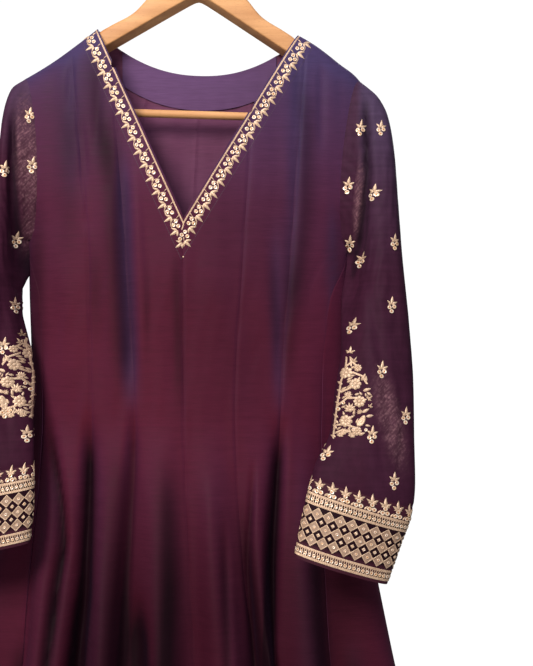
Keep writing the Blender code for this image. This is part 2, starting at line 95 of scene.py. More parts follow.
class SmoothLine:
    """A curve through rows of values at rising knots, with no overshoot between them."""

    def __init__(self, knots: Sequence[float], values: Sequence) -> None:
        """Work out the slope at each knot.

        Args:
            knots: Rising places.
            values: One number or one row of numbers for each knot.
        """
        self.knots = np.asarray(knots, float)
        self.flat = np.asarray(values[0]).ndim == 0
        self.values = np.asarray(values, float).reshape(len(self.knots), -1)
        steps = np.diff(self.knots)[:, None]
        rises = np.diff(self.values, axis=0) / steps
        before, after = rises[:-1], rises[1:]
        near, far = 2.0 * steps[1:] + steps[:-1], steps[1:] + 2.0 * steps[:-1]
        safe = np.where(before * after > 0.0, before * after, 1.0)
        mean = (near + far) * safe / np.where(safe == 1.0, 1.0, near * after + far * before)
        self.slopes = np.zeros_like(self.values)
        self.slopes[1:-1] = np.where(before * after > 0.0, mean, 0.0)
        self.slopes[0], self.slopes[-1] = rises[0], rises[-1]

    def at(self, where: np.ndarray) -> np.ndarray:
        """The values at one place or many.

        Args:
            where: Places between the first and last knot.

        Returns:
            Numbers shaped like where, with a last axis for rows of values.
        """
        where = np.clip(np.asarray(where, float), self.knots[0], self.knots[-1])
        place = np.searchsorted(self.knots, where, side="right") - 1
        place = np.clip(place, 0, len(self.knots) - 2)
        step = (self.knots[place + 1] - self.knots[place])[..., None]
        t = (where - self.knots[place])[..., None] / step
        start, end = self.values[place], self.values[place + 1]
        leave, arrive = self.slopes[place] * step, self.slopes[place + 1] * step
        held = start * (1 + 2 * t) * (1 - t) ** 2 + end * t**2 * (3 - 2 * t)
        made = held + leave * t * (1 - t) ** 2 + arrive * t**2 * (t - 1)
        return made[..., 0] if self.flat else made


def tilted(points: np.ndarray) -> np.ndarray:
    """The shoulders follow the hanger, which hangs a little lower on its right."""
    points = np.array(points, float)
    low, high = TILT_FADES
    fade = np.clip((high - (NECK_Z - points[..., 2])) / (high - low), 0.0, 1.0)
    points[..., 2] -= HANG_TILT * points[..., 0] * fade
    return points


def unit(vectors: np.ndarray) -> np.ndarray:
    """The same directions with length 1."""
    return vectors / np.maximum(np.linalg.norm(vectors, axis=-1, keepdims=True), 1e-12)


def grid_normals(grid: np.ndarray, closed: bool = False) -> np.ndarray:
    """Unit normals of a grid whose columns run rightward as its rows run up."""
    if closed:
        along = np.roll(grid, -1, axis=1) - np.roll(grid, 1, axis=1)
    else:
        along = np.gradient(grid, axis=1)
    return unit(np.cross(along, np.gradient(grid, axis=0)))


def lengths_along(points: np.ndarray) -> np.ndarray:
    """The distance along a line of points from its first to each."""
    return np.concatenate([[0.0], np.cumsum(np.linalg.norm(np.diff(points, axis=0), axis=1))])


def spots_along(where: np.ndarray, steps: np.ndarray, points: np.ndarray) -> np.ndarray:
    """The spots at some distances along a line, whose points lie at the given steps."""
    return np.stack([np.interp(where, steps, column) for column in points.T], axis=1)


def x_and_drop(grid: np.ndarray) -> tuple[np.ndarray, np.ndarray]:
    """The x of each point, and its drop below the side neck points."""
    return grid[..., 0], NECK_Z - grid[..., 2]


def drawn_in(grid: np.ndarray) -> np.ndarray:
    """A grid with its first and last rows half a sewn gap nearer to their neighbours."""
    drawn = grid.copy()
    for edge, inner in ((0, 1), (-1, -2)):
        drawn[edge] += unit(drawn[inner] - drawn[edge]) * SEWN_GAP / 2.0
    return drawn


def dense_at_ends(count: int) -> np.ndarray:
    """Shares from 0 to 1 that lie closer together near both ends."""
    even = np.linspace(0.0, 1.0, count)
    return even - 0.55 * np.sin(2.0 * math.pi * even) / (2.0 * math.pi)


# ---------------------------------------------------------------- the gown's cut


class Section(NamedTuple):
    """The body's oval at a drop below the side neck points, and how far its flutes stand."""

    drop: float
    centre: float
    half_width: float
    half_depth: float
    flute: float


SECTIONS = (
    Section(0.245, -0.016, 0.183, 0.034, 0.000),
    Section(0.305, -0.016, 0.182, 0.035, 0.000),
    Section(0.370, -0.016, 0.180, 0.037, 0.000),
    Section(0.440, -0.016, 0.182, 0.043, 0.000),
    Section(0.490, -0.016, 0.187, 0.049, 0.003),
    Section(0.540, -0.017, 0.194, 0.056, 0.008),
    Section(0.595, -0.018, 0.204, 0.064, 0.014),
    Section(0.660, -0.020, 0.216, 0.072, 0.021),
    Section(0.740, -0.022, 0.231, 0.080, 0.029),
    Section(0.850, -0.023, 0.254, 0.090, 0.037),
    Section(1.000, -0.024, 0.285, 0.100, 0.045),
    Section(1.180, -0.024, 0.318, 0.110, 0.053),
    Section(1.360, -0.024, 0.350, 0.120, 0.060),
)
UNDERARM = SECTIONS[0]
HEM_DROP = SECTIONS[-1].drop
OVAL = SmoothLine([row.drop for row in SECTIONS], [row[1:] for row in SECTIONS])

# Each row: a drop, the turns of the seven front seams, and how far round the back seams start.
SEAM_ROWS = (
    (0.245, -90.0, -37.0, -22.2, -1.1, 20.6, 40.1, 90.0, 90.0),
    (0.305, -68.0, -37.0, -21.0, -1.0, 19.5, 38.5, 63.0, 84.0),
    (0.440, -64.0, -35.6, -18.0, -0.6, 17.5, 35.4, 57.0, 70.0),
    (0.595, -57.0, -32.0, -16.0, 2.3, 18.9, 29.5, 50.0, 56.0),
    (0.740, -50.0, -27.0, -13.5, 5.0, 22.5, 28.0, 47.5, 50.0),
    (1.360, -52.0, -32.0, -15.0, 6.0, 24.0, 32.0, 52.0, 52.0),
)
SEAM_LINES = SmoothLine([row[0] for row in SEAM_ROWS], [row[1:] for row in SEAM_ROWS])
FLUTES = {
    Face.FRONT: (1.15, 1.00, 0.95, 0.90, 1.10, 0.85),
    Face.BACK: (1.05, 0.90, 1.10, 0.95, 1.00, 1.10),
}

# Above the underarm, by the share of the way up: how deep the body is, and how far it spreads.
RISE_ROWS = (
    (0.000, 0.0340, 0.183),
    (0.120, 0.0335, 0.182),
    (0.300, 0.0325, 0.192),
    (0.450, 0.0310, 0.198),
    (0.612, 0.0290, 0.204),
    (0.800, 0.0275, 0.212),
    (0.920, 0.0262, 0.222),
    (0.975, 0.0256, 0.228),
    (1.000, 0.0250, 0.230),
)
RISE_LINES = SmoothLine([row[0] for row in RISE_ROWS], [row[1:] for row in RISE_ROWS])
RIDGE_ROUNDING = 14.0
RIDGE_REACH = 0.0005
RIDGE_STARTS = 0.55
NECK_TURN = 6.0

V_X, V_DROP = -0.0185, 0.2156
NECK_X = {Side.LEFT: -0.1195, Side.RIGHT: 0.1105}
SHOULDER_TIP = {Side.LEFT: (-0.2035, 0.060), Side.RIGHT: (0.1815, 0.056)}
SHOULDER_CROWN = {Side.LEFT: -0.003, Side.RIGHT: 0.006}
OUTER_SEAM_TOP_X = {Side.LEFT: -0.148, Side.RIGHT: 0.1195}
INNER_SEAM_RISE = {Side.LEFT: 0.800, Side.RIGHT: 0.612}
SEAM_TIP = 0.004
ARMHOLE_BOW = 0.015
BACK_NECK_DROP = 0.044
BACK_NECK_CURVE = 2.2
BACK_INNER_SEAM_X = 0.055
NECK_MIDDLE = 0.5 * (NECK_X[Side.LEFT] + NECK_X[Side.RIGHT])
NECK_HALF = 0.5 * (NECK_X[Side.RIGHT] - NECK_X[Side.LEFT])


def seam_turns(face: Face, drop: np.ndarray) -> np.ndarray:
    """The turns in degrees of a face's seven seams, from one side seam to the other.

    Args:
        face: Front or back.
        drop: Drops below the side neck points.

    Returns:
        An array with a last axis of seven turns.
    """
    rows = SEAM_LINES.at(drop)
    front, back_side = rows[..., :7], rows[..., 7:]
    if face is Face.FRONT:
        return front
    inner = back_side + (360.0 - 2.0 * back_side) * np.arange(1, 6) / 6.0
    return np.concatenate([front[..., 6:], inner, front[..., :1] + 360.0], axis=-1)


def v_edge_x(side: Side, drop: float) -> float:
    """The neckline's x at a drop, straight from the V's point to the side neck."""
    share = min(max(1.0 - drop / V_DROP, 0.0), 1.0)
    return V_X + (NECK_X[side] - V_X) * share


def shoulder_drop(side: Side, x: float) -> float:
    """The shoulder line's drop at x, with its slight crown."""
    tip_x, tip_drop = SHOULDER_TIP[side]
    share = min(max((x - NECK_X[side]) / (tip_x - NECK_X[side]), 0.0), 1.0)
    return tip_drop * share - SHOULDER_CROWN[side] * math.sin(math.pi * share)


def back_neck_drop(x: float) -> float:
    """The back neckline's drop at x."""
    share = min(abs(x - NECK_MIDDLE) / NECK_HALF, 1.0)
    return BACK_NECK_DROP * (1.0 - share**BACK_NECK_CURVE)


def underarm_x(turn: float) -> float:
    """The x of a turn round the oval at the underarm."""
    return UNDERARM.centre + UNDERARM.half_width * math.sin(math.radians(turn))


def armhole_x(side: Side, rise: float) -> float:
    """The armhole edge, bowed inwards between the underarm and the shoulder tip."""
    low = underarm_x(90.0 * side.outward)
    straight = low + (SHOULDER_TIP[side][0] - low) * rise
    return straight - side.outward * ARMHOLE_BOW * 2.0 * math.sqrt(rise * (1.0 - rise))


class SeamEnd(NamedTuple):
    """Where a seam line passes at a rise, and the drop at which it ends at the top."""

    x: float
    top_drop: float


def front_lines(side: Side, rise: float) -> tuple[SeamEnd, ...]:
    """The four front lines on a side at a rise: middle, inner, outer, armhole."""
    turns = seam_turns(Face.FRONT, np.array(UNDERARM.drop))
    turns = turns[3:] if side is Side.RIGHT else turns[3::-1]
    edge = v_edge_x(side, UNDERARM.drop * (1.0 - rise))
    rise_of_v = 1.0 - V_DROP / UNDERARM.drop
    middle = edge
    if rise < rise_of_v:
        start = underarm_x(turns[0])
        middle = start + (V_X - start) * rise / rise_of_v
    met = INNER_SEAM_RISE[side]
    inner = edge
    if rise <= met:
        start = underarm_x(turns[1])
        meeting = v_edge_x(side, UNDERARM.drop * (1.0 - met)) + side.outward * SEAM_TIP
        inner = start + (meeting - start) * rise / met
    top_x = OUTER_SEAM_TOP_X[side]
    outer = underarm_x(turns[2]) + (top_x - underarm_x(turns[2])) * rise
    return (
        SeamEnd(middle, 0.0),
        SeamEnd(inner, 0.0),
        SeamEnd(outer, shoulder_drop(side, top_x)),
        SeamEnd(armhole_x(side, rise), SHOULDER_TIP[side][1]),
    )


def back_lines(side: Side, rise: float) -> tuple[SeamEnd, ...]:
    """The four back lines on a side at a rise: middle, inner, outer, armhole."""
    turns = seam_turns(Face.BACK, np.array(UNDERARM.drop))
    turns = turns[3::-1] if side is Side.RIGHT else turns[3:]
    inner_top = NECK_MIDDLE + side.outward * BACK_INNER_SEAM_X
    lines = []
    for turn, top_x in zip(turns, (NECK_MIDDLE, inner_top, OUTER_SEAM_TOP_X[side])):
        x = underarm_x(turn) + (top_x - underarm_x(turn)) * rise
        past_neck = side.outward * (top_x - NECK_X[side]) > 0.0
        top_drop = shoulder_drop(side, top_x) if past_neck else back_neck_drop(top_x)
        lines.append(SeamEnd(x, top_drop))
    lines.append(SeamEnd(armhole_x(side, rise), SHOULDER_TIP[side][1]))
    return tuple(lines)


def upper_depth(rise: float, x: float, top_x: float, side: Side, face: Face) -> float:
    """How far the cloth stands from the middle plane, closing over the shoulder ridge."""
    half_depth, spread = RISE_LINES.at(rise)
    oval = math.sqrt(max(1.0 - ((x - UNDERARM.centre) / spread) ** 2, 0.0))
    ridge = math.sqrt(max(1.0 - rise**RIDGE_ROUNDING, 0.0))
    if face is Face.BACK:
        share = (abs(top_x / NECK_X[side]) - RIDGE_STARTS) / (1.0 - RIDGE_STARTS)
        ridge = 1.0 - (1.0 - ridge) * min(max(share, 0.0), 1.0) ** NECK_TURN
    return half_depth * oval * ridge


# ---------------------------------------------------------------- folds


@dataclass(frozen=True)
class Fold:
    """A soft trough running down the cloth in millimetres, or a ridge where its depth is below 0.

    path holds (x, drop) points with rising drops. lean makes one flank steeper.
    """

    path: tuple[tuple[float, float], ...]
    width: float
    depth: float
    lean: float = 0.0
    fade: float = 50.0

    def press(self, x: np.ndarray, drop: np.ndarray) -> np.ndarray:
        """How far the fold pushes each point in, in the unit of its depth."""
        line_x, line_drop = np.array(self.path).T * MM
        fade = self.fade * MM
        centre = np.interp(drop, line_drop, line_x)
        grow = 1.0 + 0.8 * np.clip((drop - 0.6) / 0.76, 0.0, 1.0)
        off = (x - centre) / (self.width * MM * grow)
        starts = eased(line_drop[0] - 0.5 * fade, line_drop[0] + fade, drop)
        ends = 1.0 - eased(line_drop[-1] - fade, line_drop[-1] + 0.5 * fade, drop)
        if line_drop[-1] > HEM_DROP - MM:
            ends = 1.0
        return self.depth * starts * ends * (np.exp(-off**2) + self.lean * off * np.exp(-(off**2) / 1.6))


def pressed(folds: Sequence[Fold], x: np.ndarray, drop: np.ndarray) -> np.ndarray:
    """How far many folds together push each point in."""
    return sum(fold.press(x, drop) for fold in folds)


# A fold deeper than this many millimetres gets painted shade inside.
DEEP = 4.0
FOLDS = {
    Face.FRONT: (
        Fold(((-89, 150), (-84.7, 253), (-79.8, 342), (-77.3, 410)), 7.5, 6, 0.25),
        Fold(((-72.5, 170), (-69, 260), (-65, 400)), 8, -2.2),
        Fold(((-103, 190), (-99, 300), (-96, 430)), 9, -2),
        Fold(((-67.1, 180), (-59, 290)), 4.5, 1.2, 0.3),
        Fold(((-134.3, 110), (-129.7, 180)), 4.5, 1.8, 0.3, 30),
        Fold(((-147, 30), (-150.1, 100)), 5, 2, 0.4, 30),
        Fold(((-112.3, 40), (-119.7, 150)), 6, 1.8, 0.2, 40),
        Fold(((111.5, 30), (105.8, 202), (91.2, 372)), 6, 2.4, -0.4),
        Fold(((135, 30), (136, 130)), 4.5, 1.8, 0.3, 30),
        Fold(((157.3, 50), (160.6, 115)), 4.5, 1.6, 0.2, 30),
        Fold(((84.6, 240), (87.9, 415)), 7, 1.8, 0.4),
        Fold(((148.1, 240), (152.2, 390)), 6.5, 1.8, -0.3),
        Fold(((69, 350), (53.5, 384)), 3, 0.8, 0.5, 15),
        Fold(((-4.6, 228), (-17.9, 250)), 3, 0.9, 0.5, 12),
        Fold(((135.8, 259), (123.5, 286)), 3, 0.9, 0.5, 12),
        Fold(((-45, 240), (-44, 430)), 18, -1.5),
        Fold(((12, 260), (13, 430)), 17, -1.5),
        Fold(((-148, 250), (-150, 420)), 16, -1.4),
        Fold(
            ((-125.1, 450), (-124.6, 549), (-125.3, 630), (-133.3, 696), (-158, 950), (-190, 1360)),
            8.5, 11.5, 0.3,
        ),
        Fold(
            (
                (-172.1, 440), (-151.4, 533), (-147, 580), (-152.5, 620),
                (-160, 700), (-195, 1000), (-240, 1360),
            ),
            6.5, 8, -0.7,
        ),
        Fold(
            ((-74.9, 440), (-77.3, 528), (-81.1, 610), (-84.7, 696), (-104, 1000), (-128, 1360)),
            7, 7, 0.4,
        ),
        Fold(((-61.3, 640), (-58.6, 730), (-60, 1000), (-66, 1360)), 11, 11, -0.3),
        Fold(((90, 450), (85.5, 528), (80.6, 600), (76.8, 696), (86, 1000), (102, 1360)), 7.6, 10.8, -0.3),
        Fold(((60, 500), (54, 600), (61, 700), (70, 1360)), 3.5, 6, -0.5),
        Fold(((-129, 620), (-133, 700), (-150, 1000), (-175, 1360)), 6, 6, 0.4),
        Fold(((29, 560), (33, 680), (42, 1360)), 4.5, 4.5, -0.4),
        Fold(
            ((139.9, 420), (146.7, 528), (148.3, 630), (149.4, 696), (178, 1000), (215, 1360)),
            6.5, 9, 0.5,
        ),
        Fold(((168.2, 470), (172.9, 580), (176.8, 700), (208, 1000), (250, 1360)), 11, -4),
        Fold(((13, 500), (15, 700), (20, 1000), (26, 1360)), 10, -3.5),
        Fold(((-30, 760), (-33, 1360)), 15, 8, 0.3),
        Fold(((38, 820), (46, 1360)), 14, 9, -0.3),
        Fold(((128, 780), (156, 1360)), 13, 8, 0.3),
        Fold(((-215, 860), (-290, 1360)), 15, 9, 0.3),
        Fold(((230, 880), (285, 1360)), 15, 8, -0.3),
    ),
    Face.BACK: (
        Fold(((-135, 70), (-118, 330)), 9, 2.5, 0.3),
        Fold(((102, 80), (84, 350)), 9, 2.4, -0.3),
        Fold(((-42, 110), (-40, 360)), 11, 1.8),
        Fold(((26, 140), (22, 400)), 10, 2, 0.2),
        Fold(((-125, 450), (-142, 700), (-195, 1360)), 10, 11, 0.3),
        Fold(((-85, 470), (-90, 800), (-115, 1360)), 9, 8, -0.4),
        Fold(((-33, 480), (-37, 760), (-43, 1360)), 10, 11, 0.3),
        Fold(((18, 520), (23, 900), (30, 1360)), 9, 9, -0.2),
        Fold(((70, 460), (80, 740), (105, 1360)), 10, 12, 0.3),
        Fold(((120, 440), (134, 700), (175, 1360)), 10, 9, -0.4),
        Fold(((166, 700), (240, 1360)), 12, 9, 0.2),
        Fold(((-190, 680), (-265, 1360)), 12, 9, -0.3),
    ),
}
# Painted sheen: where the blue warp is painted in most on the front, as cloth catching the light, laid out
# like folds: depth is its strength.
PAINTED_SHEEN_BANDS = (
    Fold(((-89, 140), (-84.7, 253), (-77, 420)), 8.5, 0.4),
    Fold(((84.6, 220), (87.9, 430)), 7.5, 0.24),
    Fold(((148.1, 200), (152.2, 400)), 6, 0.26),
    Fold(((111.5, 0), (105.8, 202), (96, 330)), 11, 0.2),
    Fold(((110, 470), (120, 560), (123, 750), (135, 1360)), 12, 0.12, 0.0, 80),
    Fold(((-148, 0), (-145, 200)), 12, 0.18),
    Fold(((-115, 450), (-108, 600), (-110, 750), (-150, 1360)), 8, 0.08, 0.0, 80),
)
# Where the front lies in soft shade between its fuller folds: depth is how dark.
SHADE_BANDS = (
    Fold(((-104, 100), (-95, 250), (-83, 410)), 13, 0.58),
    Fold(((35, 180), (40, 460)), 55, 0.14),
    Fold(((-60, 265), (-58.5, 365)), 4, 0.35),
    Fold(((-27, 255), (-22.5, 425)), 6, 0.42),
    Fold(((111, 45), (119, 110), (118, 200), (106, 330)), 10.5, 0.44),
    Fold(((101, 250), (98.5, 400)), 9, 0.36),
    Fold(((-139, 20), (-139, 180)), 32, 0.22),
    Fold(((-119, 240), (-117, 350)), 9, 0.32),
    Fold(((150, 210), (156, 390)), 9, 0.38),
    Fold(((-124, 20), (-109, 170)), 10, 0.38),
    Fold(((-150, 80), (-148, 260)), 12, 0.26),
    Fold(((80, 260), (85, 370)), 7, 0.34),
    Fold(((-86, 470), (-89, 600), (-102, 900), (-140, 1360)), 13, 0.36),
    Fold(((-36, 490), (-31, 620), (-34, 800), (-50, 1360)), 12, 0.55),
    Fold(((47, 540), (66, 680), (85, 1360)), 9, 0.45),
    Fold(((125, 520), (133, 700), (165, 1360)), 16, 0.3),
)


def ripple(x: np.ndarray, drop: np.ndarray) -> np.ndarray:
    """Small soft waves in hung cloth, longer down the gown than across."""
    wander = 0.004 * np.sin(drop * 23.0 + 1.3) + 0.003 * np.sin(drop * 51.0)
    wide = np.sin((x + wander) * 2.0 * math.pi / 0.043 + 2.0 * np.sin(drop * 9.0))
    narrow = np.sin((x - wander) * 2.0 * math.pi / 0.019 + 3.0 * np.sin(drop * 14.0 + 2.0))
    return 0.00035 * wide + 0.00018 * narrow * np.sin(drop * 31.0 + x * 40.0)


# ---------------------------------------------------------------- shells


def shell_mesh(name: str, outer: np.ndarray, inner: np.ndarray, closed: bool) -> bpy.types.Mesh:
    """A thin wall between two grids of points.

    Args:
        name: The mesh's name.
        outer: The outside skin, rows running up and columns rightward seen from outside.
        inner: The inside skin, point for point.
        closed: True where the columns run right round.

    Returns:
        A closed mesh with its faces outward.
    """
    rows, columns = outer.shape[:2]
    count = rows * columns
    index = np.arange(count).reshape(rows, columns)
    nxt = np.roll(index, -1, axis=1) if closed else index[:, 1:]
    here = index if closed else index[:, :-1]
    a, b, c, d = here[:-1], nxt[:-1], nxt[1:], here[1:]
    outside = np.stack([a, b, c, d], axis=-1).reshape(-1, 4)
    inside = np.stack([a, d, c, b], axis=-1).reshape(-1, 4) + count
    foot = np.stack([nxt[0], here[0], here[0] + count, nxt[0] + count], axis=-1)
    head = np.stack([here[-1], nxt[-1], nxt[-1] + count, here[-1] + count], axis=-1)
    faces = [outside, inside, foot, head]
    if not closed:
        left, right = index[:, 0], index[:, -1]
        faces.append(np.stack([left[:-1], left[1:], left[1:] + count, left[:-1] + count], axis=-1))
        faces.append(np.stack([right[1:], right[:-1], right[:-1] + count, right[1:] + count], axis=-1))
    quads = np.concatenate(faces)
    points = np.concatenate([outer.reshape(-1, 3), inner.reshape(-1, 3)])
    mesh = bpy.data.meshes.new(name)
    mesh.vertices.add(len(points))
    mesh.vertices.foreach_set("co", points.ravel())
    mesh.loops.add(quads.size)
    mesh.loops.foreach_set("vertex_index", quads.ravel())
    mesh.polygons.add(len(quads))
    mesh.polygons.foreach_set("loop_start", np.arange(0, quads.size, 4))
    mesh.polygons.foreach_set("loop_total", np.full(len(quads), 4))
    mesh.update()
    mesh.validate()
    mesh.shade_smooth()
    mesh.set_sharp_from_angle(angle=math.radians(60.0))
    return mesh


def add_numbers(mesh: bpy.types.Mesh, name: str, values: np.ndarray) -> None:
    """Put a number on each point of a mesh, under a name that its material reads."""
    layer = mesh.attributes.new(name, "FLOAT", "POINT")
    layer.data.foreach_set("value", np.asarray(values, np.float32).ravel())


def add_piece(name: str, mesh: bpy.types.Mesh, finish: bpy.types.Material) -> bpy.types.Object:
    """Put a mesh in the scene as a piece of the gown.

    Args:
        name: The piece's name.
        mesh: Its mesh, already in place.
        finish: Its material.

    Returns:
        The new object, riding on the gown's one body.
    """
    piece = bpy.data.objects.new(name, mesh)
    if finish is not None:
        mesh.materials.clear()
        mesh.materials.append(finish)
    bpy.context.scene.collection.objects.link(piece)
    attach(piece, "root")
    LOG.info("%s: %d faces", name, len(mesh.polygons))
    return piece


# ---------------------------------------------------------------- finishes


class Bench:
    """Lays out the nodes of one material."""

    def __init__(self, name: str) -> None:
        """Start a material with only a shader and its output."""
        self.material = bpy.data.materials.new(name)
        self.material.use_nodes = True
        self.nodes = self.material.node_tree.nodes
        self.links = self.material.node_tree.links
        self.shader = self.nodes["Principled BSDF"]
        self.place = self.nodes.new("ShaderNodeTexCoord").outputs["Object"]

    def set(self, **values: object) -> None:
        """Set plain values on the shader, by socket name with _ for a space."""
        for name, value in values.items():
            socket = self.shader.inputs[name.replace("_", " ")]
            socket.default_value = (*value, 1.0) if isinstance(value, tuple) else value

    def feed(self, name: str, source: Socket) -> None:
        """Link a made value or colour into the shader."""
        self.links.new(source, self.shader.inputs[name])

    def node(self, kind: str, settings: Optional[dict] = None, **inputs: object) -> bpy.types.Node:
        """Add a node.

        Args:
            kind: The node's type name.
            settings: Its own properties.
            inputs: Values or sockets by input name, with _ for a space.

        Returns:
            The node.
        """
        made = self.nodes.new(kind)
        for key, value in (settings or {}).items():
            setattr(made, key, value)
        for key, value in inputs.items():
            socket = made.inputs[key.replace("_", " ")]
            if isinstance(value, Socket):
                self.links.new(value, socket)
            else:
                socket.default_value = value
        return made

    def noise(self, scale: Triple, detail: float = 2.0, turn: Triple = (0.0, 0.0, 0.0)) -> Socket:
        """A noise over the piece from 0 to 1, turned and then scaled along each axis."""
        shrink = tuple(1.0 / value for value in scale)
        settings = {"vector_type": "TEXTURE"}
        places = self.node("ShaderNodeMapping", settings, Vector=self.place, Scale=shrink, Rotation=turn)
        where = places.outputs[0]
        return self.node("ShaderNodeTexNoise", Vector=where, Scale=1.0, Detail=detail).outputs["Fac"]

    def number(self, name: str) -> Socket:
        """A number stored on the mesh's points."""
        return self.node("ShaderNodeAttribute", {"attribute_name": name}).outputs["Fac"]

    def spread(
        self, value: Socket, low: float, high: float, out_low: float = 0.0, out_high: float = 1.0
    ) -> Socket:
        """Stretch a value from one range to another, kept within it."""
        ends = {"From_Min": low, "From_Max": high, "To_Min": out_low, "To_Max": out_high}
        return self.node("ShaderNodeMapRange", {"clamp": True}, Value=value, **ends).outputs[0]

    def blend(self, share: object, first: object, second: object, kind: str = "MIX") -> Socket:
        """Mix two colours.

        Args:
            share: How much of the second, as a number or a socket.
            first: A colour or a socket.
            second: A colour or a socket.
            kind: The way of mixing.

        Returns:
            The mixed colour.
        """
        mix = self.node("ShaderNodeMix", {"data_type": "RGBA", "blend_type": kind})
        for place, value in ((0, share), (6, first), (7, second)):
            if isinstance(value, Socket):
                self.links.new(value, mix.inputs[place])
            else:
                mix.inputs[place].default_value = (*value, 1.0) if isinstance(value, tuple) else value
        return mix.outputs[2]

    def vary(self, value: Socket, middle: float, reach: float) -> Socket:
        """A noise stretched to run about a middle value by a reach."""
        return self.spread(value, 0.3, 0.7, middle - reach, middle + reach)

    def tint(self, colour: Socket, *tones: Socket) -> None:
        """Feed the shader a colour, brightened or darkened by the sum of some tones."""
        tone = tones[0]
        for more in tones[1:]:
            tone = self.maths("ADD", tone, more)
        shade = self.node("ShaderNodeCombineColor", Red=tone, Green=tone, Blue=tone).outputs[0]
        self.feed("Base Color", self.blend(1.0, colour, shade, "MULTIPLY"))

    def maths(self, how: str, first: object, second: object) -> Socket:
        """Combine two numbers."""
        made = self.node("ShaderNodeMath", {"operation": how})
        for socket, value in zip(made.inputs, (first, second)):
            if isinstance(value, Socket):
                self.links.new(value, socket)
            else:
                socket.default_value = value
        return made.outputs[0]

    def bump(self, height: Socket, depth: float, strength: float, **under: Socket) -> Socket:
        """A bump from a height, laid on another that is given as Normal."""
        made = self.node("ShaderNodeBump", Height=height, Distance=depth, Strength=strength, **under)
        return made.outputs[0]


@dataclass(frozen=True)
class ShotSilk:
    """Silk woven with two colours, with the blue one painted in as a sheen where the cloth turns, faces up or
    hangs high and catches the sky light.
    """

    name: str
    wine: Triple
    blue: Triple
    wrong_side: Triple = (0.125, 0.040, 0.086)
    # The colour of painted shade in deep folds, and of the cuff silk's darker ground.
    hollow: Triple = (0.0070, 0.0018, 0.0040)
    roughness: float = 0.58
    sheen: float = 0.03
    sheen_tint: Triple = (0.42, 0.25, 0.62)

    def make(self) -> bpy.types.Material:
        """Lay the weave and slubs, the painted blue sheen and the painted shade."""
        bench = Bench(self.name)
        shot = bench.number("shot")
        slub = bench.noise((14.0, 14.0, 260.0), 3.0)
        weft = bench.noise((60.0, 60.0, 1500.0), 1.0)
        cloud = bench.noise((7.0, 7.0, 5.0), 2.0)
        # Painted sheen: the weave's blue is mixed in where the cloth is painted as catching the sky light.
        colour = bench.blend(shot, self.wine, self.blue)
        colour = bench.blend(bench.number("wrong_side"), colour, self.wrong_side)
        # Painted shade: darkened in deep folds, under the arm and towards the hem, and the cuff's darker
        # ground.
        colour = bench.blend(bench.number("hollow"), colour, self.hollow)
        tones = [bench.vary(slub, 0.0, 0.05), bench.vary(weft, 0.0, 0.09), bench.vary(cloud, 1.0, 0.10)]
        bench.tint(colour, *tones)
        bench.feed("Roughness", bench.vary(slub, self.roughness, 0.06))
        bench.set(Sheen_Weight=self.sheen, Sheen_Roughness=0.45, Sheen_Tint=self.sheen_tint)
        bench.set(Specular_IOR_Level=0.07)
        grain = bench.bump(bench.noise((900.0, 900.0, 2400.0), 1.0), 0.00012, 0.35)
        bench.feed("Normal", bench.bump(slub, 0.0003, 0.18, Normal=grain))
        return bench.material


@dataclass(frozen=True)
class SheerSilk:
    """Thin crinkled silk of the sleeves, with paler hatched patches where two layers cross: moiré, with
    painted light showing through the sheer cloth.
    """

    name: str
    plum: Triple
    pale: Triple
    blue: Triple = (0.070, 0.044, 0.090)
    # The colour of painted shade in the sleeve's folds and under the arm.
    hollow: Triple = (0.011, 0.0040, 0.0090)

    def make(self) -> bpy.types.Material:
        """Lay the crinkle, the hatching, the pale patches, the painted blue sheen and the painted shade."""
        bench = Bench(self.name)
        hatch = bench.noise((130.0, 130.0, 520.0), 2.0, (0.0, -0.8, 0.0))
        cross = bench.noise((420.0, 420.0, 260.0), 2.0, (0.0, -0.5, 0.0))
        crinkle = bench.noise((160.0, 160.0, 46.0), 3.0)
        slub = bench.noise((16.0, 16.0, 300.0), 2.0)
        fleck = bench.maths("MULTIPLY", bench.spread(hatch, 0.40, 0.66), bench.spread(cross, 0.34, 0.62))
        patch = bench.maths("MULTIPLY", bench.number("sheer"), bench.maths("ADD", fleck, 0.25))
        # Painted sheen: bluer where the sleeve is painted as catching the light from above.
        colour = bench.blend(bench.number("shot"), self.plum, self.blue)
        # Pale patches: moiré of crossed layers, with painted light showing through the sheer cloth.
        colour = bench.blend(patch, colour, self.pale)
        # Painted shade in the sleeve's deep folds and under the arm.
        colour = bench.blend(bench.number("hollow"), colour, self.hollow)
        bench.tint(colour, bench.vary(slub, 0.98, 0.10), bench.vary(crinkle, 0.0, 0.10))
        bench.set(Sheen_Weight=0.02, Sheen_Roughness=0.40, Sheen_Tint=(0.55, 0.35, 0.60))
        bench.set(Roughness=0.60, Specular_IOR_Level=0.05)
        grain = bench.bump(bench.noise((800.0, 800.0, 1600.0), 1.0), 0.00012, 0.35)
        bench.feed("Normal", bench.bump(crinkle, 0.0006, 0.35, Normal=grain))
        return bench.material


@dataclass(frozen=True)
class Thread:
    """Metallic gold thread in satin stitch or cord."""

    name: str
    deep: Triple
    bright: Triple
    metallic: float = 0.25
    roughness: float = 0.42

    def make(self) -> bpy.types.Material:
        """Lay the fine lines of the stitches."""
        bench = Bench(self.name)
        strand = bench.noise((1500.0, 600.0, 2600.0), 2.0, (0.0, 0.6, 0.0))
        bench.feed("Base Color", bench.blend(bench.spread(strand, 0.36, 0.60), self.deep, self.bright))
        bench.set(Metallic=self.metallic, Roughness=self.roughness, Specular_IOR_Level=0.6)
        bench.feed("Normal", bench.bump(strand, 0.0003, 0.6))
        return bench.material


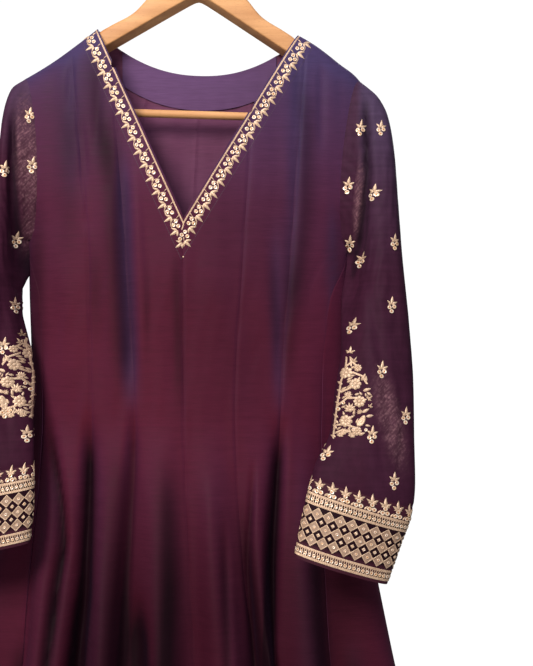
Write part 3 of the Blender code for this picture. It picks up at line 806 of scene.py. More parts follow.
@dataclass(frozen=True)
class Spangle:
    """A small glossy cup sequin or bead."""

    name: str
    colour: Triple
    glint: Triple

    def make(self) -> bpy.types.Material:
        """Lay a slight change of tone from cup to cup."""
        bench = Bench(self.name)
        vary = bench.noise((260.0, 260.0, 260.0), 1.0)
        bench.feed("Base Color", bench.blend(bench.spread(vary, 0.35, 0.65), self.colour, self.glint))
        bench.set(Metallic=0.15, Roughness=0.22, Coat_Weight=0.5, Coat_Roughness=0.10)
        return bench.material


@dataclass(frozen=True)
class Beech:
    """Pale beech with its fine grain under a thin matte varnish."""

    name: str
    light: Triple
    dark: Triple

    def make(self) -> bpy.types.Material:
        """Lay the long grain, the flecks and the soft bands."""
        bench = Bench(self.name)
        band = bench.noise((9.0, 60.0, 90.0), 3.0)
        grain = bench.noise((40.0, 700.0, 900.0), 2.0)
        fleck = bench.noise((220.0, 900.0, 1400.0), 1.0)
        wood = bench.blend(bench.spread(band, 0.35, 0.68), self.light, self.dark)
        wood = bench.blend(bench.spread(grain, 0.48, 0.72, 0.0, 0.35), wood, self.dark)
        wood = bench.blend(bench.spread(fleck, 0.62, 0.72, 0.0, 0.30), wood, (0.30, 0.13, 0.05))
        bench.feed("Base Color", wood)
        bench.set(Roughness=0.58, Coat_Weight=0.08, Coat_Roughness=0.40, Specular_IOR_Level=0.30)
        bench.feed("Normal", bench.bump(grain, 0.0003, 0.25))
        return bench.material


@dataclass(frozen=True)
class PlatedWire:
    """Bright plated steel wire."""

    name: str
    colour: Triple

    def make(self) -> bpy.types.Material:
        """Lay faint drawn lines and dull spots."""
        bench = Bench(self.name)
        dull = bench.noise((300.0, 300.0, 60.0), 2.0)
        bench.feed("Base Color", bench.blend(bench.spread(dull, 0.4, 0.7), self.colour, (0.52, 0.52, 0.54)))
        bench.set(Metallic=1.0)
        bench.feed("Roughness", bench.vary(dull, 0.21, 0.07))
        bench.feed("Normal", bench.bump(dull, 0.0001, 0.2))
        return bench.material


# ---------------------------------------------------------------- body


class KaliKey(NamedTuple):
    """One long panel of the body: its face and its place from left to right seen from that face."""

    face: Face
    place: int

    @property
    def side(self) -> Side:
        """The side of the gown that it lies on."""
        left = (self.place < 3) == (self.face is Face.FRONT)
        return Side.LEFT if left else Side.RIGHT

    @property
    def panel(self) -> int:
        """Its place outward from the middle: 0, 1 or 2."""
        return 2 - self.place if self.place < 3 else self.place - 3

    @property
    def node(self) -> str:
        """The name of its solid."""
        return f"{self.face.value}_{('centre', 'princess', 'side')[self.panel]}_kali_{self.side.value}"


RISES = (
    *np.linspace(0.0, 0.612, 17)[1:],
    *np.linspace(0.612, 0.800, 6)[1:],
    0.835, 0.865, 0.890, 0.910, 0.928, 0.944, 0.958, 0.970, 0.980, 0.988, 0.994, 0.998, 1.000,
)


LIFT, LIFT_SPOT, LIFT_REACH = 0.0065, (0.1750, 0.062), (0.017, 0.035)


def lifted(grid: np.ndarray) -> np.ndarray:
    """A grid with the right shoulder's end raised, where the sleeve head holds it up."""
    x, drop = x_and_drop(grid)
    raised = grid.copy()
    off_x, off_drop = (x - LIFT_SPOT[0]) / LIFT_REACH[0], (drop - LIFT_SPOT[1]) / LIFT_REACH[1]
    raised[..., 2] += LIFT * np.exp(-(off_x**2) - off_drop**2)
    return raised


# How much painted blue sheen each side's silk gets, by drop: most at the top, where the light from above
# falls.
SHEEN_DROPS = (0.0, 0.05, 0.12, 0.20, 0.32, 0.45, 1.36)
PAINTED_SHEEN_HEIGHTS = {
    Side.LEFT: (0.95, 0.58, 0.36, 0.20, 0.08, 0.04, 0.02),
    Side.RIGHT: (0.95, 0.80, 0.55, 0.30, 0.12, 0.05, 0.02),
}


@dataclass
class Body:
    """Twelve kalis sewn edge to edge, fluted below the waist and open at neck and hem."""

    silk: bpy.types.Material
    columns: int = 29
    lower_rows: int = 96
    seam_groove: float = 0.0009
    seam_width: float = 0.0022
    pucker: float = 0.00035
    pucker_pitch: float = 0.011
    pucker_width: float = 0.006
    side_fade: float = 0.030
    shoulder_fade: float = 0.035
    hem_line: float = 0.022
    hem_groove: float = 0.0005
    hem_width: float = 0.0025
    normal_share: float = 0.08
    hollow_depth: float = 10.5
    low_shade: float = 0.44

    def lower_grid(self, key: KaliKey) -> np.ndarray:
        """The rows of a kali from the hem to the underarm."""
        drop = np.linspace(HEM_DROP, UNDERARM.drop, self.lower_rows)[:, None]
        share = dense_at_ends(self.columns)[None, :]
        turns = seam_turns(key.face, drop[:, 0])
        start, end = turns[:, key.place, None], turns[:, key.place + 1, None]
        angle = np.radians(start + (end - start) * share)
        centre, half_width, half_depth, flute = np.moveaxis(OVAL.at(drop), -1, 0)
        swell = 0.5 - 0.5 * np.cos(2.0 * math.pi * share)
        stands = flute * FLUTES[key.face][key.place] * swell
        out_x, out_y = half_depth * np.sin(angle), -half_width * np.cos(angle)
        length = np.hypot(out_x, out_y)
        x = centre + half_width * np.sin(angle) + stands * out_x / length
        y = -half_depth * np.cos(angle) + stands * out_y / length
        return np.stack([x, y, np.broadcast_to(NECK_Z - drop, x.shape)], axis=-1)

    def upper_grid(self, key: KaliKey) -> np.ndarray:
        """The rows of a kali above the underarm."""
        side, panel, face = key.side, key.panel, key.face
        make_lines = back_lines if face is Face.BACK else front_lines
        first, last = make_lines(side, 1.0)[panel : panel + 2]
        share = dense_at_ends(self.columns)
        turns = seam_turns(face, np.array(UNDERARM.drop))
        turns = np.sin(np.radians(turns[key.place] + (turns[key.place + 1] - turns[key.place]) * share))
        if (face is Face.FRONT) == (key.place < 3):
            turns = turns[::-1]
        by_turn = (turns - turns[0]) / (turns[-1] - turns[0])
        rows = []
        for rise in RISES:
            if panel == 0 and face is Face.FRONT and rise > INNER_SEAM_RISE[side] + 1e-6:
                break
            start, end = make_lines(side, rise)[panel : panel + 2]
            shares = share + (by_turn - share) * (1.0 - float(eased(0.0, 0.35, rise)))
            row = []
            for s in shares:
                x = start.x + (end.x - start.x) * s
                top_x = first.x + (last.x - first.x) * s
                top = start.top_drop + (end.top_drop - start.top_drop) * s
                if side.outward * (top_x - NECK_X[side]) > 0.0:
                    top = shoulder_drop(side, top_x)
                elif face is Face.BACK:
                    top = back_neck_drop(top_x)
                depth = upper_depth(rise, x, top_x, side, face)
                z = NECK_Z - UNDERARM.drop + (UNDERARM.drop - top) * rise
                row.append((x, depth if face is Face.BACK else -depth, z))
            rows.append(row if key.place >= 3 else row[::-1])
        return np.array(rows)

    def folded(self, key: KaliKey, grid: np.ndarray, normals: np.ndarray) -> np.ndarray:
        """Press the folds, ripples, seam grooves and puckers into a kali."""
        x, drop = x_and_drop(grid)
        depth = MM * pressed(FOLDS[key.face], x, drop) + ripple(x, drop)
        across = np.linalg.norm(np.diff(grid, axis=1), axis=2)
        from_left = np.concatenate([np.zeros((len(grid), 1)), np.cumsum(across, axis=1)], axis=1)
        from_right = from_left[:, -1:] - from_left
        if key.place == 0:
            depth *= eased(0.0, self.side_fade, from_left)
        if key.place == 5:
            depth *= eased(0.0, self.side_fade, from_right)
        fades = key.panel or key.face is Face.BACK
        top_fade = eased(0.0, self.shoulder_fade, drop - drop[-1:, :]) if fades else 1.0
        depth *= 0.25 + 0.75 * top_fade
        seam = np.minimum(from_left, from_right)
        groove = np.exp(-((seam / self.seam_width) ** 2)) * top_fade
        at_side = (key.place == 0) * (from_left < 0.01) + (key.place == 5) * (from_right < 0.01)
        depth += self.seam_groove * groove * (1.0 - at_side * (1.0 - eased(0.34, 0.44, drop)))
        wave = np.sin(drop * 2.0 * math.pi / self.pucker_pitch + 2.5 * np.sin(drop * 37.0) + key.place)
        depth += self.pucker * wave * np.exp(-((seam / self.pucker_width) ** 2)) * (seam > 1e-5) * top_fade
        above_line = HEM_DROP - drop - self.hem_line
        depth += self.hem_groove * np.exp(-((above_line / self.hem_width) ** 2))
        straight = np.array((0.0, -1.0 if key.face is Face.FRONT else 1.0, 0.0))
        way = self.normal_share * normals + (1.0 - self.normal_share) * straight
        return grid - depth[..., None] * unit(way)

    def shot(self, key: KaliKey, grid: np.ndarray, normals: np.ndarray) -> np.ndarray:
        """How much painted blue sheen each point gets, from 0 to 1: more high up, on cloth turned sideways or
        upward, and in the sheen bands.
        """
        x, drop = x_and_drop(grid)
        left, right = (np.interp(drop, SHEEN_DROPS, PAINTED_SHEEN_HEIGHTS[side]) for side in Side)
        height = left + (right - left) * eased(-0.05, 0.08, x) * (key.face is Face.FRONT)
        # Painted sheen on cloth turned to the side and facing up.
        turned = np.abs(normals[..., 0]) ** 1.5 * 0.28 * (1.0 - eased(0.42, 0.60, drop) * 0.8)
        upward = np.clip(normals[..., 2], 0.0, 1.0) * 0.5
        bands = pressed(PAINTED_SHEEN_BANDS, x, drop) if key.face is Face.FRONT else 0.0
        return np.clip(height + turned + upward + bands, 0.0, 1.0)

    def hollow(self, key: KaliKey, grid: np.ndarray) -> np.ndarray:
        """How much painted shade each point gets, from 0 to 1: in deep folds, under the left arm, in the
        shade bands and towards the hem.
        """
        x, drop = x_and_drop(grid)
        troughs = pressed([fold for fold in FOLDS[key.face] if fold.depth > DEEP], x, drop)
        deep = np.clip(troughs / self.hollow_depth, 0.0, 1.0) ** 1.5 * 0.92
        # Painted shade on the side of the body under the left arm.
        under_arm = 0.50 * (1.0 - eased(-0.187, -0.170, x))
        under_arm *= eased(0.18, 0.27, drop) * (1.0 - eased(0.45, 0.6, drop))
        bands = pressed(SHADE_BANDS, x, drop) if key.face is Face.FRONT else 0.0
        deep = np.maximum(deep, np.maximum(under_arm, bands))
        # Painted shade, darker towards the hem in the middle of the skirt.
        low = self.low_shade * eased(0.46, 0.66, drop) * (1.0 - 0.75 * eased(0.14, 0.20, np.abs(x)))
        return np.clip(deep + low, 0.0, 0.95)

    def build(self) -> dict[KaliKey, bpy.types.Object]:
        """Make all twelve kalis as separate thin shells.

        Returns:
            The pieces by their place in the body.
        """
        keys = [KaliKey(face, place) for face in Face for place in range(6)]
        grids = {key: lifted(np.concatenate([self.lower_grid(key), self.upper_grid(key)])) for key in keys}
        normals = {key: grid_normals(grid) for key, grid in grids.items()}
        self.share_edges(keys, grids, normals)
        for key in keys:
            grids[key] = self.folded(key, grids[key], normals[key])
        normals = {key: grid_normals(grid) for key, grid in grids.items()}
        self.share_edges(keys, grids, normals)
        pieces = {}
        for key in keys:
            grid, normal = grids[key], normals[key]
            ridge = np.abs(grid[-1, :, 1]) < RIDGE_REACH
            normal[-1, ridge, 1] = 0.0
            normal[-1] = unit(normal[-1])
            outer = drawn_in(grid.swapaxes(0, 1)).swapaxes(0, 1)
            inside = outer - CLOTH * normal
            if key.panel > 0 or key.face is Face.BACK:
                half = SEAM_GAP / 2.0 * (-1.0 if key.face is Face.FRONT else 1.0)
                outer[-1, :, 1] += half
                inside[-1, :, 1] += half
            mesh = shell_mesh(f"{key.node}_cloth", tilted(outer), tilted(inside), closed=False)
            shot, hollow = self.shot(key, grid, normal), self.hollow(key, grid)
            add_numbers(mesh, "shot", np.tile(shot.ravel(), 2))
            add_numbers(mesh, "hollow", np.concatenate([hollow.ravel(), np.zeros(hollow.size)]))
            inner = 1.0 if key.face is Face.BACK else 0.0
            add_numbers(mesh, "wrong_side", np.repeat((0.0, inner), hollow.size))
            piece = add_piece(f"{key.node}_cloth", mesh, self.silk)
            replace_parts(piece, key.node)
            pieces[key] = piece
        return pieces

    @staticmethod
    def share_edges(keys: list[KaliKey], grids: dict, normals: dict) -> None:
        """Give the meeting edges of neighbours one common normal."""
        for place, key in enumerate(keys):
            other = keys[(place + 1) % len(keys)]
            rows = min(len(grids[key]), len(grids[other]))
            gap = np.linalg.norm(grids[key][:rows, -1] - grids[other][:rows, 0], axis=1)
            meets = gap < 5e-5
            mean = unit(normals[key][:rows, -1] + normals[other][:rows, 0])
            normals[key][:rows, -1][meets] = mean[meets]
            normals[other][:rows, 0][meets] = mean[meets]
            centre = 0.5 * (grids[key][:rows, -1] + grids[other][:rows, 0])
            grids[key][:rows, -1][meets] = centre[meets]
            grids[other][:rows, 0][meets] = centre[meets]


# ---------------------------------------------------------------- sleeves


class Cut(NamedTuple):
    """A ring across a sleeve in millimetres: its edges, half depth and how far forward it hangs."""

    outer_x: float
    outer_drop: float
    inner_x: float
    inner_drop: float
    half_depth: float
    forward: float


SLEEVE_CUTS = {
    Side.RIGHT: (
        Cut(198.5, 66, 174, 243, 26, 3),
        Cut(212, 89, 177.5, 252, 28, 6),
        Cut(219.5, 133, 179, 266, 29, 10),
        Cut(223, 190, 178, 286, 29, 16),
        Cut(226.5, 255, 170, 316, 28, 26),
        Cut(232, 330, 160, 356, 26, 40),
        Cut(235, 400, 149.5, 405, 24, 54),
        Cut(234, 460, 142, 455, 22, 68),
        Cut(233, 505, 126.5, 484, 19, 82),
        Cut(230, 530, 122, 498, 18, 88),
        Cut(215.5, 568, 112, 537, 17, 98),
        Cut(200, 607, 103, 578, 16, 107),
    ),
    Side.LEFT: (
        Cut(-216.5, 71, -203, 243, 26, 3),
        Cut(-224, 93, -206, 252, 28, 6),
        Cut(-229, 136, -208, 266, 29, 10),
        Cut(-234.5, 190, -208.5, 286, 29, 16),
        Cut(-243, 255, -205.5, 316, 28, 26),
        Cut(-255, 330, -196.5, 356, 26, 38),
        Cut(-265, 400, -186.5, 403, 24, 50),
        Cut(-272, 450, -180, 440, 22, 62),
        Cut(-276.5, 490, -176.5, 473, 19, 74),
        Cut(-278.5, 503, -175.5, 485, 18, 78),
        Cut(-281.5, 545, -174, 526, 17, 86),
        Cut(-283, 586, -177, 567, 16, 92),
    ),
}
CUFF_STARTS = 10
LOOP_RISES = (1.0, 0.975, 0.920, 0.800, 0.612, 0.450, 0.300, 0.120, 0.0)
SLEEVE_FOLDS = {
    (Side.RIGHT, Face.FRONT): (
        Fold(((185, 75), (184.8, 120), (185.2, 159), (181.5, 203), (176, 262)), 4.5, 6, 0.5, 30),
        Fold(((190, 90), (192.5, 160), (189, 230)), 6, -1.5, 0.0, 30),
        Fold(((172, 130), (170, 190), (172, 240)), 5, 1.8, 0.3, 30),
        Fold(((185, 290), (195, 357), (203, 417), (206, 470)), 6, 2.2, 0.4),
        Fold(((208, 200), (213, 290), (217, 380)), 7, 1.8, -0.3),
        Fold(((170, 350), (174, 420), (164, 475)), 7, 1.8, 0.3),
        Fold(((218, 390), (220, 440), (215, 500)), 5.5, 2.2, 0.4, 30),
        Fold(((190, 455), (199, 500)), 5, 2, 0.4, 20),
    ),
    (Side.LEFT, Face.FRONT): (
        Fold(((-211, 105), (-208.8, 158), (-208, 197), (-205.5, 268)), 4, 6, -0.5, 30),
        Fold(((-196, 110), (-195, 170), (-199, 230)), 6, 1.6, 0.3, 30),
        Fold(((-216, 255), (-212, 337), (-215, 420)), 6, 2.4, -0.4),
        Fold(((-233, 230), (-240, 330), (-248, 440)), 7, 2.2, 0.3),
        Fold(((-200, 380), (-206, 430), (-202, 465)), 6, 1.8, 0.3, 30),
    ),
    (Side.RIGHT, Face.BACK): (
        Fold(((195, 110), (198, 230), (200, 340)), 8, 3.5, 0.3),
        Fold(((206, 240), (200, 350), (185, 460)), 7, 3, -0.4),
        Fold(((185, 330), (172, 440)), 6, 2.5, 0.3),
    ),
    (Side.LEFT, Face.BACK): (
        Fold(((-216, 110), (-222, 230), (-230, 340)), 8, 3.5, 0.3),
        Fold(((-220, 250), (-233, 360), (-242, 450)), 7, 3, -0.4),
        Fold(((-205, 330), (-210, 440)), 6, 2.5, 0.3),
    ),
}
# Paler patches of the sheer cloth, moiré of crossed layers with painted light showing through: (x, drop, half
# width, half height, lean, strength).
MOIRE_AND_BACKLIGHT_PATCHES = {
    Side.RIGHT: ((0.1785, 0.190, 0.0048, 0.042, -0.06, 1.2), (0.2060, 0.435, 0.0125, 0.048, 0.22, 0.9)),
    Side.LEFT: ((-0.1965, 0.150, 0.0125, 0.060, 0.04, 1.0), (-0.1960, 0.240, 0.0110, 0.030, 0.0, 0.5)),
}
# How far the cloth under the arm bags in towards the body behind the sleeve, by drop.
TUCKS = {
    Side.RIGHT: ((0.215, 0.250, 0.300, 0.340, 0.375), (0.0, 0.0180, 0.0170, 0.0080, 0.0)),
    Side.LEFT: (
        (0.215, 0.250, 0.285, 0.300, 0.330, 0.360, 0.410, 0.430),
        (0.0, 0.0180, 0.0130, 0.0050, 0.0040, 0.0075, 0.0075, 0.0),
    ),
}
# Painted shade on a sleeve under the arm: (x, drop, half width, half height, lean, strength).
PAINTED_SHADE_PATCHES = {
    Side.RIGHT: ((0.1700, 0.246, 0.0080, 0.0090, 0.0, 0.75), (0.1755, 0.262, 0.0040, 0.0200, -0.2, 0.7)),
    Side.LEFT: ((-0.1950, 0.270, 0.0120, 0.0250, -0.1, 0.95), (-0.2070, 0.240, 0.0040, 0.0300, 0.0, 0.6)),
}
# How much painted blue sheen each sleeve's silk gets, by drop: most at the top, where the light from above
# falls.
SLEEVE_PAINTED_SHEEN = {
    Side.RIGHT: ((0.060, 0.120, 0.180, 0.280), (1.0, 0.70, 0.32, 0.06)),
    Side.LEFT: ((0.050, 0.100, 0.160), (0.75, 0.30, 0.0)),
}
TUCK_TURN, TUCK_SPREAD = 205.0, 24.0


def armhole_loop(side: Side, turns: np.ndarray) -> np.ndarray:
    """The body's armhole at turns from the shoulder tip, down the front and up the back."""
    knots = np.linspace(0.0, 180.0, len(LOOP_RISES))
    way = np.where(turns <= 180.0, -1.0, 1.0)
    rises = SmoothLine(knots, LOOP_RISES).at(np.where(turns <= 180.0, turns, 360.0 - turns))
    tip_x, tip_drop = SHOULDER_TIP[side]
    loop = []
    for rise, sign in zip(np.clip(rises, 0.0, 1.0), way):
        x = armhole_x(side, float(rise))
        face = Face.BACK if sign > 0.0 else Face.FRONT
        depth = upper_depth(float(rise), x, tip_x, side, face)
        z = NECK_Z - UNDERARM.drop + (UNDERARM.drop - tip_drop) * rise
        loop.append((x, sign * depth, z))
    return np.array(loop)


@dataclass
class Sleeve:
    """One sleeve from the armhole to the hem of its embroidered cuff, open at both ends."""

    side: Side
    sheer: bpy.types.Material
    border: bpy.types.Material
    columns: int = 120
    sleeve_rows: int = 100
    cuff_rows: int = 22
    cuff_rise: float = 0.085
    hollow_depth: float = 6.0

    def rings(self) -> tuple[np.ndarray, np.ndarray]:
        """The knots down the sleeve and the ring of points at each."""
        turns = np.linspace(0.0, 360.0, self.columns, endpoint=False)
        rings = [armhole_loop(self.side, turns)]
        angle = np.radians(turns)
        for cut in SLEEVE_CUTS[self.side]:
            outer = np.array((cut.outer_x * MM, -cut.forward * MM, NECK_Z - cut.outer_drop * MM))
            inner = np.array((cut.inner_x * MM, -cut.forward * MM, NECK_Z - cut.inner_drop * MM))
            ring = (outer + inner) / 2.0 + np.cos(angle)[:, None] * (outer - inner) / 2.0
            ring[:, 1] -= cut.half_depth * MM * np.sin(angle)
            rings.append(ring)
        rings = np.array(rings)
        steps = np.linalg.norm(np.diff(rings, axis=0), axis=2).mean(axis=1)
        return np.concatenate([[0.0], np.cumsum(steps)]), rings

    def surface(self) -> tuple[np.ndarray, np.ndarray, int]:
        """The folded surface of sleeve and cuff together.

        Returns:
            Points and outward normals by row and column, and the row of the cuff's seam.
        """
        knots, rings = self.rings()
        line = SmoothLine(knots, rings.reshape(len(knots), -1))
        seam = knots[CUFF_STARTS]
        down = np.concatenate(
            [np.linspace(0.0, seam, self.sleeve_rows), np.linspace(seam, knots[-1], self.cuff_rows)[1:]]
        )
        grid = lifted(line.at(down).reshape(len(down), self.columns, 3))
        normals = self.normals(grid)
        share = (down / seam)[:, None]
        turn = np.linspace(0.0, 360.0, self.columns, endpoint=False)[None, :]
        inner_drop = (NECK_Z - grid[:, self.columns // 2, 2])[:, None]
        round_it = np.exp(-(((turn - TUCK_TURN) / TUCK_SPREAD) ** 2))
        tuck = np.interp(inner_drop, *TUCKS[self.side]) * round_it
        grid[..., 0] -= self.side.outward * tuck
        x, drop = x_and_drop(grid)
        edge = np.sin(np.radians(turn))
        depth = 0.0
        for face, facing in ((Face.FRONT, edge), (Face.BACK, -edge)):
            depth = depth + eased(0.05, 0.45, facing) * MM * pressed(SLEEVE_FOLDS[self.side, face], x, drop)
        depth = depth * (1.0 - eased(0.93, 1.0, share)) * eased(0.0, 0.06, share)
        edge = np.abs(edge)
        gather = 0.0005 * np.sin(np.radians(turn) * 34.0)
        gather = gather * eased(0.0, 0.01, share) * (1.0 - eased(0.01, 0.10, share))
        crinkle = 0.0003 * np.sin(share * 95.0 + 3.0 * np.sin(np.radians(turn) * 5.0 + share * 20.0))
        crinkle = crinkle * eased(0.02, 0.1, share) * (1.0 - eased(0.9, 0.99, share))
        groove = 0.0008 * np.exp(-(((down[:, None] - seam) / 0.0016) ** 2))
        grid = grid - (depth + gather * edge + crinkle * edge + groove)[..., None] * normals
        return grid, self.normals(grid), self.sleeve_rows - 1

    def normals(self, grid: np.ndarray) -> np.ndarray:
        """Unit normals out of the tube."""
        return grid_normals(grid, closed=True) * self.side.outward

    def patched(self, patches: dict[Side, tuple], x: np.ndarray, drop: np.ndarray) -> np.ndarray:
        """How strongly each point lies in one of this side's patches, from 0 up."""
        felt = np.zeros(x.shape)
        for at_x, at_drop, wide, tall, lean, strength in patches[self.side]:
            off = (x - at_x - lean * (drop - at_drop)) / wide
            felt += strength * np.exp(-((off**2 + ((drop - at_drop) / tall) ** 2) ** 2))
        return felt

    def shell(self, name: str, grid: np.ndarray, normals: np.ndarray) -> bpy.types.Mesh:
        """A tube's wall with its ends half a seam gap in."""
        outer = drawn_in(grid)
        inside = outer - CLOTH * normals
        return shell_mesh(name, self.upward(tilted(outer)), self.upward(tilted(inside)), closed=True)

    def upward(self, rows: np.ndarray) -> np.ndarray:
        """The rows of a table in the order that turns this side's faces outward."""
        return rows[::-1] if self.side is Side.LEFT else rows

    def build(self) -> tuple[np.ndarray, np.ndarray, int, tuple]:
        """Make the sleeve and its cuff.

        Returns:
            The surface, its normals, the row of the cuff's seam and the two pieces.
        """
        grid, normals, seam = self.surface()
        word = self.side.value
        rows = slice(0, seam + 1)
        mesh = self.shell(f"sleeve_{word}_cloth", grid[rows], normals[rows])
        x, drop = x_and_drop(grid[rows])
        folds = SLEEVE_FOLDS[self.side, Face.FRONT] + SLEEVE_FOLDS[self.side, Face.BACK]
        # Painted shade in the sleeve's deep folds and in its shade patches under the arm.
        troughs = pressed([fold for fold in folds if fold.depth > DEEP], x, drop)
        deep = np.clip(troughs / self.hollow_depth, 0.0, 1.0) * 0.85
        hollow = np.maximum(deep, self.patched(PAINTED_SHADE_PATCHES, x, drop))
        numbers = {
            # Pale patches of moiré and painted light showing through.
            "sheer": self.patched(MOIRE_AND_BACKLIGHT_PATCHES, x, drop),
            "hollow": np.clip(hollow, 0.0, 0.95),
            # Painted sheen: bluer high up and on the sleeve's outer part.
            "shot": np.interp(drop, *SLEEVE_PAINTED_SHEEN[self.side]) * (0.3 + 0.7 * eased(0.174, 0.186, np.abs(x))),
        }
        for name, values in numbers.items():
            add_numbers(mesh, name, np.tile(self.upward(values).ravel(), 2))
        sleeve = add_piece(f"sleeve_{word}_cloth", mesh, self.sheer)
        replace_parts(sleeve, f"sleeve_{word}")
        cuff_mesh = self.shell(f"cuff_{word}_cloth", grid[seam:], normals[seam:])
        above_hem = np.linspace(self.cuff_rise, 0.0, len(grid) - seam)
        dark = 0.80 * eased(0.016, 0.020, above_hem) * (1.0 - eased(0.064, 0.068, above_hem))
        add_numbers(cuff_mesh, "hollow", np.tile(np.repeat(self.upward(dark), self.columns), 2))
        cuff = add_piece(f"cuff_{word}_cloth", cuff_mesh, self.border)
        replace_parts(cuff, f"cuff_border_{word}")
        return grid, normals, seam, (sleeve, cuff)


# ---------------------------------------------------------------- back facing


@dataclass
class BackFacing:
    """The shaped strip of silk turned in at the back of the neck."""

    silk: bpy.types.Material
    depth: float = 0.040
    half_width: float = 0.090
    thickness: float = 0.0009
    clearance: float = 0.0030
    columns: int = 60
    rows: int = 18

    def build(self) -> bpy.types.Object:
        """Make the strip as one thin shell."""
        rows = []
        for share in np.linspace(1.0, 0.0, self.rows):
            row = []
            for x in np.linspace(NECK_MIDDLE + self.half_width, NECK_MIDDLE - self.half_width, self.columns):
                side = Side.RIGHT if x > NECK_MIDDLE else Side.LEFT
                top = back_neck_drop(x)
                drop = top + SEAM_GAP + self.depth * share
                rise = (UNDERARM.drop - drop) / (UNDERARM.drop - top)
                depth = upper_depth(rise, x, x, side, Face.BACK)
                ease = 0.0002 * math.sin(x * 310.0) * share
                row.append((x, depth - self.clearance + ease, NECK_Z - drop))
            rows.append(row)
        inner = np.array(rows)
        outer = inner + np.array((0.0, self.thickness, 0.0))
        mesh = shell_mesh("neck_facing_cloth", tilted(outer), tilted(inner), closed=False)
        drop = NECK_Z - inner[..., 2]
        # Painted sheen: bluer towards the top of the facing, where the light from above falls.
        shot = np.clip(0.95 - drop * 4.0, 0.0, 1.0)
        add_numbers(mesh, "shot", np.tile(shot.ravel(), 2))
        piece = add_piece("neck_facing_cloth", mesh, self.silk)
        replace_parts(piece, "back_neck_facing")
        return piece


# ---------------------------------------------------------------- thread work


class Motif(IntEnum):
    """The small stitched or sewn-on shapes, in the order of their library."""

    SEQUIN = 0
    BEAD = 1
    LOBE = 2
    EDGE_LEAF = 3
    SPRAY_LEAF = 4
    TWIST = 5
    TENDRIL = 6
    CELL_FRAME = 7
    CELL_FILL = 8
    LOZENGE = 9
    TOOTH = 10
    FLOWER = 11
    FAN = 12
    POD = 13
    STITCH = 14


class Stuff(IntEnum):
    """What a motif is made of."""

    THREAD = 0
    SPANGLE = 1
    BEAD = 2
    FILLING = 3


STUFF_OF = {Motif.SEQUIN: Stuff.SPANGLE, Motif.BEAD: Stuff.BEAD, Motif.CELL_FILL: Stuff.FILLING}
CELL = (6.45, 6.75)


class MotifDraft:
    """Gathers the points and faces of one flat motif, in millimetres, its face towards +Z."""

    def __init__(self) -> None:
        """Start empty."""
        self.points: list[Triple] = []
        self.faces: list[tuple[int, ...]] = []

    def rings(self, outlines: Sequence[tuple[np.ndarray, float]], centre: Optional[tuple] = None) -> None:
        """Join outlines of equal length, outermost first, and close the last at a centre.

        Args:
            outlines: Pairs of an outline running left round and its height.
            centre: A point (x, y, height) that closes the last outline, if it is closed.
        """
        size = len(outlines[0][0])
        base = len(self.points)
        for outline, height in outlines:
            self.points += [(float(x), float(y), height) for x, y in outline]
        for ring in range(len(outlines) - 1):
            for c in range(size):
                a, b = base + ring * size + c, base + ring * size + (c + 1) % size
                self.faces.append((a, b, b + size, a + size))
        if centre is not None:
            top = len(self.points)
            self.points.append(tuple(float(value) for value in centre))
            last = base + (len(outlines) - 1) * size
            for c in range(size):
                self.faces.append((last + c, last + (c + 1) % size, top))

    def dome(self, outline: np.ndarray, height: float, inset: float = 0.55) -> None:
        """A padded shape: a rim on the cloth, a shoulder and a crown."""
        centre = outline.mean(axis=0)
        shoulder = centre + (outline - centre) * inset
        self.rings([(outline, 0.04), (shoulder, height * 0.85)], (*centre, height))

    def lobe(
        self, base: tuple, turn: float, length: float, width: float, height: float = 0.75, point: float = 1.0
    ) -> None:
        """A satin-stitched leaf lobe from a base, turned left of +Y by degrees."""
        t = np.array((0.0, 0.18, 0.42, 0.70, 1.0))
        blunt = 1.0 - point
        half = width / 2.0 * np.array((0.30, 0.80, 1.0, 0.66 + 0.29 * blunt, 0.04 + 0.42 * blunt))
        right = np.stack([half, t * length], axis=1)
        left = np.stack([-half[::-1], t[::-1] * length], axis=1)
        self.dome(spun(np.concatenate([right, left]), turn) + np.array(base), height)

    def ribbon(self, path: np.ndarray, width: float, height: float) -> None:
        """A narrow raised thread along a path, tapered at its ends."""
        along = unit(np.gradient(path, axis=0))
        aside = np.stack([-along[:, 1], along[:, 0]], axis=1)
        taper = np.sin(np.linspace(0.12, 0.88, len(path)) * math.pi)[:, None] ** 0.5
        base = len(self.points)
        for shift, lift in ((-0.5, 0.03), (0.0, height), (0.5, 0.03)):
            self.points += [(float(x), float(y), lift) for x, y in path + aside * shift * width * taper]
        size = len(path)
        for row in (0, 1):
            for c in range(size - 1):
                a = base + row * size + c
                self.faces.append((a, a + 1, a + 1 + size, a + size))

    def mesh(self, name: str) -> bpy.types.Mesh:
        """The motif as a mesh in metres."""
        mesh = bpy.data.meshes.new(name)
        mesh.from_pydata([(x * MM, y * MM, z * MM) for x, y, z in self.points], [], self.faces)
        mesh.shade_smooth()
        return mesh


def spun(points: np.ndarray, turn: float) -> np.ndarray:
    """Flat points turned left by degrees about the origin."""
    angle = math.radians(turn)
    matrix = np.array(((math.cos(angle), math.sin(angle)), (-math.sin(angle), math.cos(angle))))
    return np.asarray(points, float) @ matrix


def oval(radius: float, sides: int, stretch: float = 1.0) -> np.ndarray:
    """A flat ring of points running left round."""
    angle = np.linspace(0.0, 2.0 * math.pi, sides, endpoint=False)
    return np.stack([radius * np.cos(angle), radius * stretch * np.sin(angle)], axis=1)


def rhombus(share: float) -> np.ndarray:
    """The corners and side middles of a lattice cell, at a share of its size."""
    a, b = CELL[0] * share, CELL[1] * share
    corners = np.array(((a, 0.0), (0.0, b), (-a, 0.0), (0.0, -b)))
    middles = (corners + np.roll(corners, -1, axis=0)) / 2.0
    return np.stack([corners, middles], axis=1).reshape(-1, 2)


